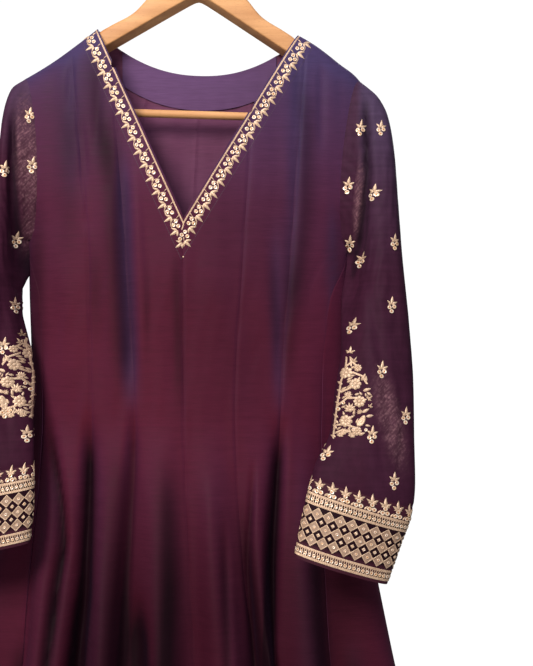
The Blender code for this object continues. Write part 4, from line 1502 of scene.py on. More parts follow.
def oblong(half_wide: float, half_tall: float) -> np.ndarray:
    """The corners of a flat oblong, running left round from its lower right."""
    return np.array(((1, -1), (1, 1), (-1, 1), (-1, -1))) * (half_wide, half_tall)


def draft_motif(motif: Motif) -> MotifDraft:
    """Draw one motif of the library.

    Args:
        motif: Which one.

    Returns:
        Its points and faces in millimetres.
    """
    draft = MotifDraft()
    if motif is Motif.SEQUIN:
        cup = [(2.35, 0.20), (2.20, 0.75), (1.60, 0.62), (0.80, 0.30)]
        draft.rings([(oval(radius, 10), height) for radius, height in cup], (0.0, 0.0, 0.30))
    elif motif is Motif.BEAD:
        draft.rings([(oval(0.95, 6), 0.42)], (0.0, 0.0, 0.78))
    elif motif is Motif.LOBE:
        draft.lobe((0.0, -2.0), 0.0, 5.6, 2.6)
    elif motif is Motif.EDGE_LEAF:
        draft.lobe((0.0, -0.4), 0.0, 10.4, 3.6)
        draft.lobe((0.6, 0.2), -52.0, 7.4, 3.0)
        draft.lobe((-0.6, 0.2), 52.0, 5.8, 2.8)
    elif motif is Motif.SPRAY_LEAF:
        draft.lobe((0.0, 0.0), 0.0, 8.6, 3.0)
        draft.lobe((0.5, 0.2), -58.0, 5.6, 2.5)
        draft.lobe((-0.5, 0.2), 58.0, 5.6, 2.5)
        draft.lobe((0.3, 0.2), -102.0, 3.6, 1.8)
        draft.lobe((-0.3, 0.2), 102.0, 3.6, 1.8)
    elif motif is Motif.TWIST:
        draft.rings([(spun(oval(1.25, 6, 0.42), 36.0), 0.05)], (0.0, 0.0, 0.62))
    elif motif is Motif.TENDRIL:
        angle = np.radians(np.linspace(-65.0, 150.0, 11))
        radius = np.linspace(1.0, 1.12, 11)
        path = np.stack([np.cos(angle) * radius, np.sin(angle) * radius], axis=1) * 5.6
        draft.ribbon(path, 0.75, 0.40)
    elif motif is Motif.CELL_FRAME:
        shares = ((1.01, 0.05), (0.92, 0.80), (0.80, 0.16))
        draft.rings([(rhombus(share), height) for share, height in shares])
    elif motif is Motif.CELL_FILL:
        draft.rings([(rhombus(0.84), 0.14), (rhombus(0.50), 0.12)], (0.0, 0.0, 0.12))
    elif motif is Motif.LOZENGE:
        shares = ((0.35, 0.05), (0.29, 0.65), (0.17, 0.20))
        draft.rings([(rhombus(share), height) for share, height in shares])
    elif motif is Motif.TOOTH:
        draft.rings([(oblong(0.42, 1.5), 0.05)], (0.0, 0.0, 0.45))
    elif motif is Motif.FLOWER:
        for turn in range(0, 360, 45):
            draft.lobe(tuple(spun(np.array((0.0, 1.2)), turn)), turn, 3.9, 3.5, 0.85, 0.0)
        draft.dome(oval(1.8, 8), 1.15)
    elif motif is Motif.FAN:
        for turn, length in ((0, 8.2), (-30, 7.6), (30, 7.6), (-60, 7.0), (60, 7.0), (-90, 6.0), (90, 6.0)):
            draft.lobe(tuple(spun(np.array((0.0, 0.6)), turn)), turn, length, 3.1)
        draft.dome(oval(2.2, 8) + np.array((0.0, -0.4)), 0.9)
    elif motif is Motif.POD:
        angle = np.radians(np.linspace(0.0, 360.0, 14, endpoint=False))
        curl = 1.0 + 0.35 * np.sin(angle)
        up = 6.2 * np.sin(angle) + 1.4 * np.cos(angle)
        shape = np.stack([3.3 * np.cos(angle) * curl**-0.6, up], axis=1)
        rows = ((1.0, 0.05), (0.82, 0.85), (0.62, 0.22), (0.40, 0.70))
        draft.rings([(shape * share, height) for share, height in rows], (0.0, 0.0, 0.75))
    elif motif is Motif.STITCH:
        draft.rings([(oblong(0.9, 0.22), 0.03)], (0.0, 0.0, 0.28))
    return draft


class Place(NamedTuple):
    """Where a motif is sewn: its flat patch, place in millimetres, turn and size."""

    motif: Motif
    patch: int
    u: float
    v: float
    turn: float = 0.0
    wide: float = 1.0
    tall: float = 1.0


def sequin(patch: int, u: float, v: float, size: float = 1.0) -> list[Place]:
    """A cup sequin with the bead that holds it."""
    return [Place(motif, patch, u, v, 0.0, size, size) for motif in (Motif.SEQUIN, Motif.BEAD)]


def run_of(
    motif: Motif,
    patch: int,
    path: Sequence[tuple[float, float]],
    pitch: float,
    wide: float = 1.0,
    tall: float = 1.0,
) -> list[Place]:
    """Motifs laid one after another along a path.

    Args:
        motif: The motif, whose own X lies along the path.
        patch: The flat patch.
        path: Points in millimetres.
        pitch: The distance from each to the next.
        wide: Its size along the path.
        tall: Its size across.

    Returns:
        The places.
    """
    knots = np.array(path, float)
    steps = lengths_along(knots)
    count = max(int(round(steps[-1] / pitch)), 1)
    where = (np.arange(count) + 0.5) * steps[-1] / count
    ahead = np.minimum(where + 0.3, steps[-1])
    behind = np.maximum(where - 0.3, 0.0)
    spots = spots_along(where, steps, knots)
    run = spots_along(ahead, steps, knots) - spots_along(behind, steps, knots)
    turns = np.degrees(np.arctan2(run[:, 1], run[:, 0]))
    return [Place(motif, patch, u, v, turn, wide, tall) for (u, v), turn in zip(spots, turns)]


Wrap = Callable[[np.ndarray, np.ndarray], np.ndarray]


class ThreadWork:
    """Sews motifs from one library onto any surface, by a node tree that repeats them."""

    def __init__(self, stuffs: dict[Stuff, bpy.types.Material]) -> None:
        """Draw the library and build the tree.

        Args:
            stuffs: The material of each stuff.
        """
        self.stuffs = stuffs
        self.library = bpy.data.collections.new("motif_library")
        for motif in Motif:
            mesh = draft_motif(motif).mesh(f"motif_{motif:02d}")
            self.library.objects.link(bpy.data.objects.new(f"motif_{motif:02d}", mesh))
        self.tree = self.build_tree()

    def build_tree(self) -> bpy.types.GeometryNodeTree:
        """The node tree: a motif on each point, made real and given its material."""
        tree = bpy.data.node_groups.new("sewn_motifs", "GeometryNodeTree")
        sockets = tree.interface
        sockets.new_socket("Places", in_out="INPUT", socket_type="NodeSocketGeometry")
        sockets.new_socket("Motifs", in_out="INPUT", socket_type="NodeSocketCollection")
        sockets.new_socket("Size", in_out="INPUT", socket_type="NodeSocketFloat")
        for stuff in Stuff:
            sockets.new_socket(stuff.name.title(), in_out="INPUT", socket_type="NodeSocketMaterial")
        sockets.new_socket("Work", in_out="OUTPUT", socket_type="NodeSocketGeometry")
        nodes, link = tree.nodes, tree.links.new
        source, result = nodes.new("NodeGroupInput"), nodes.new("NodeGroupOutput")

        def stored(name: str, kind: str) -> Socket:
            """A value stored on the places."""
            made = nodes.new("GeometryNodeInputNamedAttribute")
            made.data_type = kind
            made.inputs["Name"].default_value = name
            return made.outputs["Attribute"]

        shapes = nodes.new("GeometryNodeCollectionInfo")
        shapes.inputs["Separate Children"].default_value = True
        shapes.inputs["Reset Children"].default_value = True
        link(source.outputs["Motifs"], shapes.inputs["Collection"])
        spin = nodes.new("FunctionNodeAxisAngleToRotation")
        spin.inputs["Axis"].default_value = (0.0, 0.0, 1.0)
        link(stored("turn", "FLOAT"), spin.inputs["Angle"])
        scale = nodes.new("ShaderNodeVectorMath")
        scale.operation = "SCALE"
        link(stored("size", "FLOAT_VECTOR"), scale.inputs["Vector"])
        link(source.outputs["Size"], scale.inputs["Scale"])
        sow = nodes.new("GeometryNodeInstanceOnPoints")
        sow.inputs["Pick Instance"].default_value = True
        link(source.outputs["Places"], sow.inputs["Points"])
        link(shapes.outputs[0], sow.inputs["Instance"])
        link(stored("motif", "INT"), sow.inputs["Instance Index"])
        link(spin.outputs[0], sow.inputs["Rotation"])
        link(scale.outputs[0], sow.inputs["Scale"])
        real = nodes.new("GeometryNodeRealizeInstances")
        link(sow.outputs[0], real.inputs["Geometry"])
        work = real.outputs[0]
        for stuff in Stuff:
            same = nodes.new("FunctionNodeCompare")
            same.data_type, same.operation = "INT", "EQUAL"
            link(stored("stuff", "INT"), same.inputs["A"])
            same.inputs["B"].default_value = int(stuff)
            dress = nodes.new("GeometryNodeSetMaterial")
            link(work, dress.inputs["Geometry"])
            link(same.outputs[0], dress.inputs["Selection"])
            link(source.outputs[stuff.name.title()], dress.inputs["Material"])
            work = dress.outputs[0]
        link(work, result.inputs["Work"])
        return tree

    def sew(
        self, name: str, places: Sequence[Place], wrap: Wrap, mirrored: Sequence[int] = ()
    ) -> bpy.types.Object:
        """Make one piece of thread work on a surface.

        Args:
            name: The piece's name.
            places: Its motifs in their flat patches.
            wrap: Takes flat points (u, v, height) and their patches to points on the cloth.
            mirrored: The patches whose wrap turns a shape inside out.

        Returns:
            The finished piece.
        """
        rows = [(p.motif, p.patch, p.u * MM, p.v * MM, math.radians(p.turn), p.wide, p.tall) for p in places]
        table = np.array(rows)
        points = bpy.data.meshes.new(name + "_places")
        points.vertices.add(len(table))
        flat = np.stack([table[:, 2], table[:, 3], np.zeros(len(table))], axis=1)
        points.vertices.foreach_set("co", flat.ravel())
        stuff = np.array([STUFF_OF.get(p.motif, Stuff.THREAD) for p in places])
        for key, values in (("motif", table[:, 0]), ("patch", table[:, 1]), ("stuff", stuff)):
            layer = points.attributes.new(key, "INT", "POINT")
            layer.data.foreach_set("value", values.astype(np.int32))
        layer = points.attributes.new("turn", "FLOAT", "POINT")
        layer.data.foreach_set("value", table[:, 4].astype(np.float32))
        layer = points.attributes.new("size", "FLOAT_VECTOR", "POINT")
        size = np.stack([table[:, 5], table[:, 6], np.ones(len(table))], axis=1)
        layer.data.foreach_set("vector", size.astype(np.float32).ravel())
        holder = bpy.data.objects.new(name + "_places", points)
        bpy.context.scene.collection.objects.link(holder)
        modifier = holder.modifiers.new("sewn", "NODES")
        modifier.node_group = self.tree
        given = {"Motifs": self.library, "Size": 1.0}
        given.update({key.name.title(): material for key, material in self.stuffs.items()})
        for item in self.tree.interface.items_tree:
            if item.in_out == "INPUT" and item.name in given:
                modifier[item.identifier] = given[item.name]
        graph = bpy.context.evaluated_depsgraph_get()
        mesh = bpy.data.meshes.new_from_object(holder.evaluated_get(graph))
        bpy.data.objects.remove(holder)
        mesh.name = name
        count = len(mesh.vertices)
        co = np.empty(count * 3)
        mesh.vertices.foreach_get("co", co)
        patch = np.empty(count, np.int32)
        mesh.attributes["patch"].data.foreach_get("value", patch)
        flip = np.isin(patch, mirrored)
        mesh.vertices.foreach_set("co", wrap(co.reshape(-1, 3), patch).ravel())
        for key in ("motif", "patch", "stuff", "turn", "size"):
            if key in mesh.attributes:
                mesh.attributes.remove(mesh.attributes[key])
        if flip.any():
            turn_over(mesh, flip)
        keep_used_materials(mesh)
        mesh.update()
        mesh.shade_smooth()
        return add_piece(name, mesh, None)


def keep_used_materials(mesh: bpy.types.Mesh) -> None:
    """Leave only the material slots that faces use."""
    slots = np.empty(len(mesh.polygons), np.int32)
    mesh.polygons.foreach_get("material_index", slots)
    used, slots = np.unique(slots, return_inverse=True)
    kept = [mesh.materials[index] for index in used]
    mesh.materials.clear()
    for material in kept:
        mesh.materials.append(material)
    mesh.polygons.foreach_set("material_index", slots.astype(np.int32))


def turn_over(mesh: bpy.types.Mesh, chosen: np.ndarray) -> None:
    """Flip the faces whose points are all chosen."""
    build = bmesh.new()
    build.from_mesh(mesh)
    faces = [face for face in build.faces if chosen[face.verts[0].index]]
    bmesh.ops.reverse_faces(build, faces=faces)
    build.to_mesh(mesh)
    build.free()


# ---------------------------------------------------------------- neck and sleeve work


class Ground:
    """Cloth that thread work is sewn to, as one surface to lay flat points on."""

    def __init__(self, pieces: Sequence[bpy.types.Object]) -> None:
        """Join the pieces' faces into one tree."""
        points, faces = [], []
        for piece in pieces:
            base = len(points)
            points += [vertex.co.copy() for vertex in piece.data.vertices]
            faces += [[base + corner for corner in face.vertices] for face in piece.data.polygons]
        self.tree = BVHTree.FromPolygons(points, faces)

    def meet(self, spot: Vector, way: Vector, back: float) -> tuple[Vector, Vector]:
        """The surface point and normal that a spot falls on.

        Args:
            spot: A point near the cloth.
            way: The direction it falls in.
            back: How far it first steps back.

        Returns:
            The point and the outward normal.
        """
        hit, normal, _, _ = self.tree.ray_cast(spot - way * back, way, back * 2.0)
        if hit is None:
            hit, normal, _, _ = self.tree.find_nearest(spot)
        return hit, normal

    def lay(self, spots: np.ndarray, ways: np.ndarray, heights: np.ndarray, back: float) -> np.ndarray:
        """Lay many spots on the cloth, each raised by its height."""
        made = np.empty_like(spots)
        for index, (spot, way, height) in enumerate(zip(spots, ways, heights)):
            hit, normal = self.meet(Vector(spot), Vector(way), back)
            made[index] = hit + normal * float(height)
        return made


@dataclass
class NeckWork:
    """The sequin and leaf border down both sides of the V, and its twisted cord."""

    cloth: Sequence[bpy.types.Object]
    pitches: tuple[float, float] = (16.35, 15.80)
    starts: tuple[float, float] = (-4.1, -0.4)
    cluster_lines: tuple[float, float] = (11.4, 10.2)
    leaf_turns: tuple[float, float] = (6.0, 13.0)
    leaf_ahead: float = 8.9
    leaf_out: float = 1.4
    cord_lines: tuple[float, float] = (2.9, 3.8)
    cord_nears: float = 1.1
    stitch_line: float = 22.4
    meeting: float = -1.88

    def __post_init__(self) -> None:
        """Find the edge lines and the ground."""
        self.ground = Ground(self.cloth)
        self.lines = []
        for side in Side:
            run = np.array((NECK_X[side] - V_X, -V_DROP))
            length = float(np.linalg.norm(run))
            run = run / length
            self.lines.append((run, np.array((-run[1], run[0])) * side.outward, length / MM))
        self.lines.append((np.array((1.0, 0.0)), np.array((0.0, 1.0)), 0.0))

    def wrap(self, flat: np.ndarray, patch: np.ndarray) -> np.ndarray:
        """Lay flat points on the front of the gown, seen from the front."""
        spots = np.empty((len(flat), 2))
        for index, (run, out, _) in enumerate(self.lines):
            chosen = patch == index
            spots[chosen] = flat[chosen, :1] * run + flat[chosen, 1:2] * out
        spots += np.array((V_X, V_DROP))
        level = tilted(np.stack([spots[:, 0], np.zeros(len(spots)), NECK_Z - spots[:, 1]], axis=1))
        return self.ground.lay(level, np.tile((0.0, 1.0, 0.0), (len(flat), 1)), flat[:, 2], 0.2)

    def cords(self) -> list[Place]:
        """Two twisted cords side by side along each edge of the V, joined in a short stem."""
        places = []
        for patch, (_, _, length) in enumerate(self.lines[:2]):
            for line in self.cord_lines:
                ends = [(self.meeting * line, line), (length - 1.5, line - self.cord_nears)]
                places += run_of(Motif.TWIST, patch, ends, 0.85, 1.0, 0.56)
        return places + run_of(Motif.TWIST, 2, [(0.0, 5.0), (-0.4, 9.0), (-1.9, 14.5)], 1.05)

    def repeats(self) -> list[Place]:
        """Three sequins, a leaf and a tendril, again and again up each side."""
        places = []
        for patch, (_, _, length) in enumerate(self.lines[:2]):
            out = self.cluster_lines[patch]
            for index in range(-1, int(length / self.pitches[patch]) + 1):
                u = self.starts[patch] + self.pitches[patch] * index
                if index >= 0 and u < length - 5.0:
                    for off_u, off_v in ((3.0, -1.3), (0.1, 2.9), (-2.9, -1.6)):
                        places += sequin(patch, u + off_u, out + off_v)
                    places.append(Place(Motif.TENDRIL, patch, u + 0.2, out, 10.0))
                    places.append(Place(Motif.LOBE, patch, u + 7.0, 5.4, 20.0, 0.45, 0.95))
                if u + self.leaf_ahead < length - 4.0:
                    leaf = (u + self.leaf_ahead, out + self.leaf_out, self.leaf_turns[patch])
                    places.append(Place(Motif.EDGE_LEAF, patch, *leaf))
        return places

    def point(self) -> list[Place]:
        """The cluster and the two spread leaves below the V's point, and the last small knot."""
        places = []
        for u, v in ((1.6, 16.8), (-2.1, 20.3), (4.1, 21.7), (-3.9, 25.0)):
            places += sequin(2, u, v)
        places.append(Place(Motif.EDGE_LEAF, 2, -1.4, 29.6, 56.0, -0.95, 0.92))
        places.append(Place(Motif.EDGE_LEAF, 2, 1.3, 27.2, -47.0, 0.95, 0.92))
        places.append(Place(Motif.LOBE, 2, 0.2, 24.0, 0.0, 0.5, 0.9))
        return places + [Place(Motif.LOBE, 2, -0.6, 44.6, 0.0, 0.8, 0.4)]

    def stitches(self) -> list[Place]:
        """The fine line of stitches outside the border."""
        places = []
        for patch, (_, _, length) in enumerate(self.lines[:2]):
            way = [(self.meeting * self.stitch_line, self.stitch_line), (length - 6.0, self.stitch_line)]
            places += run_of(Motif.STITCH, patch, way, 2.4)
        return places

    def build(self, work: ThreadWork, fine: ThreadWork) -> None:
        """Sew the cords, the border and the stitch line."""
        cord = work.sew("neck_cord", self.cords(), self.wrap, (1, 2))
        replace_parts(cord, "neck_piping")
        work.sew("neck_border", self.repeats() + self.point(), self.wrap, (1, 2))
        fine.sew("neck_stitching", self.stitches(), self.wrap, (1, 2))


class Spot(NamedTuple):
    """A motif of the sleeve's large half flower: its place in millimetres, turn and size."""

    motif: Motif
    x: float
    drop: float
    turn: float
    size: float


PANEL_MIDDLE = (0.150, 0.410)
PANEL_SHIFT = {Side.LEFT: (-0.0315, -0.0205), Side.RIGHT: (0.0, 0.0)}
PANEL_LEAN = {Side.LEFT: -0.09, Side.RIGHT: 0.0}
PANEL_SPOTS = (
    Spot(Motif.SPRAY_LEAF, 14.6, -43.7, 0, 0.80), Spot(Motif.SPRAY_LEAF, 18.7, -34.1, -30, 0.62),
    Spot(Motif.FLOWER, 9.9, -22.0, 0, 1.15), Spot(Motif.FLOWER, 23.0, -27.1, 0, 0.72),
    Spot(Motif.FLOWER, 19.9, -10.0, 0, 1.10), Spot(Motif.LOBE, 27.9, -16.6, -25, 1.30),
    Spot(Motif.LOBE, 30.9, -3.8, -70, 1.30), Spot(Motif.LOBE, 4.0, -10.6, 60, 1.0),
    Spot(Motif.LOBE, 3.2, -2.0, 60, 1.0), Spot(Motif.LOBE, 6.9, -4.3, -50, 1.0),
    Spot(Motif.FAN, 10.8, 2.9, -35, 0.62), Spot(Motif.FLOWER, 23.8, 8.5, 0, 1.10),
    Spot(Motif.SPRAY_LEAF, 32.7, 5.7, -55, 0.62), Spot(Motif.FAN, 13.6, 17.6, 10, 0.85),
    Spot(Motif.SEQUIN, 1.3, 17.1, 0, 1.0), Spot(Motif.SEQUIN, 7.0, 10.4, 0, 0.8),
    Spot(Motif.FLOWER, 8.7, 29.3, 0, 1.15), Spot(Motif.LOBE, 29.3, 18.4, -60, 1.3),
    Spot(Motif.LOBE, 33.4, 23.6, -80, 1.2), Spot(Motif.POD, 25.5, 29.0, -20, 0.95),
    Spot(Motif.LOBE, 17.7, 20.7, -10, 1.0), Spot(Motif.FAN, 7.3, 41.8, 30, 0.62),
    Spot(Motif.LOBE, -4.1, 45.6, 70, 1.0), Spot(Motif.FAN, 2.4, 44.8, -10, 0.50),
    Spot(Motif.FAN, 14.6, 45.0, -15, 0.55), Spot(Motif.LOBE, 24.6, 42.6, -70, 1.1),
    Spot(Motif.LOBE, -2.2, 36.2, 50, 1.0), Spot(Motif.LOBE, -0.9, 24.7, 55, 1.0),
    Spot(Motif.SEQUIN, 16.3, 38.5, 0, 0.8), Spot(Motif.LOBE, 15.5, 24.9, -60, 0.9),
    Spot(Motif.LOBE, 13.3, -15.2, -60, 1.0), Spot(Motif.LOBE, 12.1, 37.5, -20, 0.9),
    Spot(Motif.SEQUIN, 29.8, 38.2, 0, 0.8), Spot(Motif.LOBE, 13.0, -12.6, -60, 0.9),
    Spot(Motif.LOBE, 12.6, -7.0, -60, 0.8), Spot(Motif.LOBE, 21.0, 1.0, -75, 0.9),
    Spot(Motif.LOBE, 31.0, -14.6, 0, 1.1), Spot(Motif.LOBE, 33.6, 0.0, -120, 1.0),
    Spot(Motif.LOBE, 2.0, 5.0, 60, 0.9), Spot(Motif.LOBE, 7.2, 4.6, -50, 0.8),
    Spot(Motif.LOBE, 1.2, 11.0, 60, 0.9), Spot(Motif.LOBE, 6.4, 14.6, -60, 0.8),
    Spot(Motif.LOBE, -0.6, 30.6, 45, 0.9), Spot(Motif.SPRAY_LEAF, 34.6, 14.0, -30, 0.50),
    Spot(Motif.FAN, 24.2, 20.4, 25, 0.45), Spot(Motif.LOBE, 20.6, 29.6, -20, 0.9),
    Spot(Motif.FLOWER, 20.6, 39.6, 0, 0.85), Spot(Motif.LOBE, 31.4, 33.6, -100, 0.9),
    Spot(Motif.LOBE, 14.0, 0.6, 10, 0.8), Spot(Motif.LOBE, 25.6, 0.4, 40, 0.8),
    Spot(Motif.LOBE, 17.4, -27.6, -50, 0.9), Spot(Motif.LOBE, 16.4, -18.6, -75, 0.9),
    Spot(Motif.LOBE, 1.2, 37.6, -50, 0.8), Spot(Motif.LOBE, 13.4, 41.0, 10, 0.9),
    Spot(Motif.LOBE, 7.0, 22.0, 20, 0.8), Spot(Motif.LOBE, 30.6, 1.8, 20, 0.7),
)
PANEL_STEMS = (
    ((11.5, -38.8), (10.1, -26.9), (5.1, -12.8), (0.4, 13.0), (-4.6, 47.7)),
    ((15.5, -38.9), (15.7, -29.2)),
    ((10.6, -29.1), (16.9, -33.5), (22.0, -29.3)),
    ((4.7, -1.1), (14.1, -5.7), (24.7, -16.5)),
    ((1.4, 12.9), (10.7, 5.0), (20.1, 4.8), (30.6, 6.8)),
    ((-1.2, 34.0), (8.1, 32.5), (19.5, 36.4)),
    ((-2.0, 42.0), (6.0, 38.4), (12.0, 40.6)),
    ((16.6, -22.8), (26.9, -18.7), (32.1, -10.2)),
)
SPRIGS = {
    Side.RIGHT: (
        (0.2027, 0.1145), (0.1800, 0.1135), (0.1928, 0.1888), (0.1660, 0.1786), (0.1814, 0.2629),
        (0.2163, 0.2442), (0.1690, 0.2433), (0.2110, 0.3144), (0.1683, 0.3373), (0.1984, 0.3848),
        (0.2239, 0.4342), (0.1861, 0.4534), (0.1375, 0.4730), (0.2086, 0.5012),
    ),
    Side.LEFT: (
        (-0.1942, 0.0983), (-0.1910, 0.1551), (-0.2175, 0.1620), (-0.2102, 0.2396), (-0.2330, 0.2250),
        (-0.2060, 0.3146), (-0.2400, 0.3000), (-0.2125, 0.3591), (-0.2480, 0.3850), (-0.2068, 0.4277),
        (-0.1834, 0.4536), (-0.2360, 0.4500),
    ),
}


@dataclass
class SleeveWork:
    """The lattice border of a cuff, the half flower at the sleeve's inner edge and the sprigs."""

    side: Side
    grid: np.ndarray
    normals: np.ndarray
    seam: int
    cloth: Sequence[bpy.types.Object]
    cells: int = 19
    sprays: int = 17
    cell_rise: float = 13.6
    lattice_foot: float = 22.8
    rows_above: int = 5
    panel_swell: float = 1.12

    def __post_init__(self) -> None:
        """Spread the cuff's points evenly round it, from the hem up."""
        rows = slice(self.seam - self.rows_above, None)
        points, normals = self.grid[rows][::-1], self.normals[rows][::-1]
        columns = points.shape[1]
        even_points, even_normals, rounds = [], [], []
        for ring, outward in zip(points, normals):
            loop, around = np.vstack([ring, ring[:1]]), np.vstack([outward, outward[:1]])
            steps = lengths_along(loop)
            where = np.linspace(0.0, steps[-1], columns + 1)
            even_points.append(spots_along(where, steps, loop))
            even_normals.append(spots_along(where, steps, around))
            rounds.append(steps[-1])
        self.points, self.outward = np.array(even_points), np.array(even_normals)
        rises = np.linalg.norm(np.diff(self.points, axis=0), axis=2).mean(axis=1)
        self.ups = np.concatenate([[0.0], np.cumsum(rises)])
        self.round = rounds[0] / MM
        self.ground = Ground(self.cloth)

    def cuff_wrap(self, flat: np.ndarray, patch: np.ndarray) -> np.ndarray:
        """Wrap flat points round the cuff: round from its outer edge, and up from the hem."""
        columns = self.points.shape[1] - 1
        column = (flat[:, 0] / (self.round * MM)) % 1.0 * columns
        row = np.interp(flat[:, 1], self.ups, np.arange(len(self.ups)))
        c, r = np.minimum(column.astype(int), columns - 1), np.minimum(row.astype(int), len(self.ups) - 2)
        s, t = (column - c)[:, None], (row - r)[:, None]
        made = []
        for table in (self.points, self.outward):
            low = table[r, c] * (1.0 - s) + table[r, c + 1] * s
            high = table[r + 1, c] * (1.0 - s) + table[r + 1, c + 1] * s
            made.append(low * (1.0 - t) + high * t)
        return tilted(made[0] + unit(made[1]) * (flat[:, 2:] + 0.0001))

    def band(
        self, motif: Motif, up: float, count: int, shift: float = 0.0, turn: float = 0.0, size: float = 1.0
    ) -> list[Place]:
        """Motifs evenly round the cuff at a height above the hem."""
        step = self.round / count
        return [Place(motif, 0, (index + shift) * step, up, turn, size, size) for index in range(count)]

    def cuff_places(self) -> list[Place]:
        """All the motifs of the cuff, from the hem up."""
        places = []
        for up in (3.9, 4.9, 13.0, 14.0, 58.1, 59.2, 67.5, 68.6):
            places += self.band(Motif.TWIST, up, int(self.round / 1.10))
        for up, tooth in ((8.2, 11.4), (63.0, 66.2)):
            for motif in (Motif.SEQUIN, Motif.BEAD):
                places += self.band(motif, up, int(self.round / 4.7), 0.5, 0.0, 0.84)
            places += self.band(Motif.TOOTH, up - 2.6, int(self.round / 2.35), 0.0, 0.0, 1.0)
            places += self.band(Motif.TOOTH, tooth, int(self.round / 2.35), 0.0, 0.0, 1.15)
        for row in range(6):
            up = self.lattice_foot + self.cell_rise * row / 2.0
            if row % 2 == 0 and row < 5:
                for motif in (Motif.CELL_FILL, Motif.CELL_FRAME, Motif.SEQUIN, Motif.BEAD):
                    size = 0.68 if motif in (Motif.SEQUIN, Motif.BEAD) else 1.0
                    places += self.band(motif, up, self.cells, 0.0, 0.0, size)
            elif row < 5:
                for motif in (Motif.LOZENGE, Motif.SEQUIN, Motif.BEAD):
                    size = 1.0 if motif is Motif.LOZENGE else 0.52
                    places += self.band(motif, up, self.cells, 0.5, 0.0, size)
        for shift, up, size in ((0.27, 72.2, 1.0), (0.62, 71.8, 1.0), (0.50, 76.4, 0.95)):
            for motif in (Motif.SEQUIN, Motif.BEAD):
                places += self.band(motif, up, self.sprays, shift, 0.0, size)
        places += self.band(Motif.SPRAY_LEAF, 78.6, self.sprays, 0.52, -8.0, 1.10)
        places += self.band(Motif.LOBE, 71.4, self.sprays, 0.90, 30.0, 0.9)
        return places

    def frame_at(self, x: float, drop: float, behind: bool) -> tuple[np.ndarray, ...]:
        """A flat frame that touches the sleeve, upright: its middle, right, up and outward."""
        way = Vector((0.0, -1.0 if behind else 1.0, 0.0))
        hit, normal = self.ground.meet(Vector((x, -0.04, NECK_Z - drop)), way, 0.3)
        up = unit(np.array((0.0, 0.0, 1.0)) - normal.z * np.array(normal))
        right = np.cross(up, np.array(normal))
        if normal.x * self.side.outward < 0.0:
            right = right / max(abs(right[0]), 0.5)
        return np.array(hit), right, up, np.array(normal)

    def sprig_places(self) -> tuple[list[Place], np.ndarray]:
        """The sprigs, half flower and stems, each motif in a frame of its own.

        Returns:
            The places, and the frames by their number.
        """
        places, frames = [], []
        for behind in (False, True):
            for x, drop in SPRIGS[self.side]:
                frames.append(self.frame_at(x, drop, behind))
                patch = len(frames) - 1
                places.append(Place(Motif.SPRAY_LEAF, patch, 0.4, 0.8, -8.0, 1.12, 1.12))
                for u, v in ((-2.9, -2.6), (2.7, -1.9), (-0.8, -7.0)):
                    places += sequin(patch, u, v, 1.03)
            hand = self.side.outward * (-1.0 if behind else 1.0)
            for spot in PANEL_SPOTS:
                frames.append(self.frame_at(*self.panel_place(spot.x, spot.drop), behind))
                patch = len(frames) - 1
                if spot.motif is Motif.SEQUIN:
                    places += sequin(patch, 0.0, 0.0, spot.size)
                else:
                    size = spot.size * self.panel_swell
                    places.append(Place(spot.motif, patch, 0.0, 0.0, spot.turn * hand, size, size))
            for stem in PANEL_STEMS:
                for twist in run_of(Motif.TWIST, 0, stem, 1.1):
                    frames.append(self.frame_at(*self.panel_place(twist.u, twist.v), behind))
                    places.append(Place(Motif.TWIST, len(frames) - 1, 0.0, 0.0, -twist.turn * hand, 1.2, 1.5))
        return places, np.array(frames)

    def panel_place(self, x: float, drop: float) -> tuple[float, float]:
        """The x and drop on this sleeve of a place in the half flower."""
        shift = PANEL_SHIFT[self.side]
        lean = PANEL_LEAN[self.side] * drop * MM
        across = (PANEL_MIDDLE[0] + x * MM) * self.side.outward + shift[0] + lean
        return across, PANEL_MIDDLE[1] + drop * MM + shift[1]

    def build(self, work: ThreadWork) -> None:
        """Sew the cuff's border and the sleeve's sprigs."""
        word = self.side.value
        mirrored = (0,) if self.side is Side.RIGHT else ()
        work.sew(f"cuff_{word}_border", self.cuff_places(), self.cuff_wrap, mirrored)
        places, frames = self.sprig_places()

        def wrap(flat: np.ndarray, patch: np.ndarray) -> np.ndarray:
            """Lay each motif on the sleeve from its own frame."""
            middle, right, up, out = np.moveaxis(frames[patch], 1, 0)
            spots = middle + flat[:, :1] * right + flat[:, 1:2] * up
            return self.ground.lay(spots, -out, flat[:, 2], 0.006)

        work.sew(f"sleeve_{word}_sprigs", places, wrap)


# ---------------------------------------------------------------- hanger


ARM_TOP = SmoothLine(
    (0.000, 0.022, 0.050, 0.0565, 0.0733, 0.100, 0.112, 0.118, 0.140, 0.165, 0.176, 0.180),
    (0.068, 0.062, 0.0445, 0.0376, 0.0190, 0.0030, -0.0050, -0.0130, -0.030, -0.048, -0.060, -0.068),
)


def hung(points: np.ndarray) -> np.ndarray:
    """Points of the hanger turned about the hook's bearing point, as it hangs."""
    tilt = math.atan(HANG_TILT)
    turned = np.array(points, float)
    x, z = turned[..., 0].copy(), turned[..., 2].copy()
    turned[..., 0] = x * math.cos(tilt) + z * math.sin(tilt)
    turned[..., 2] = z * math.cos(tilt) - x * math.sin(tilt)
    return turned


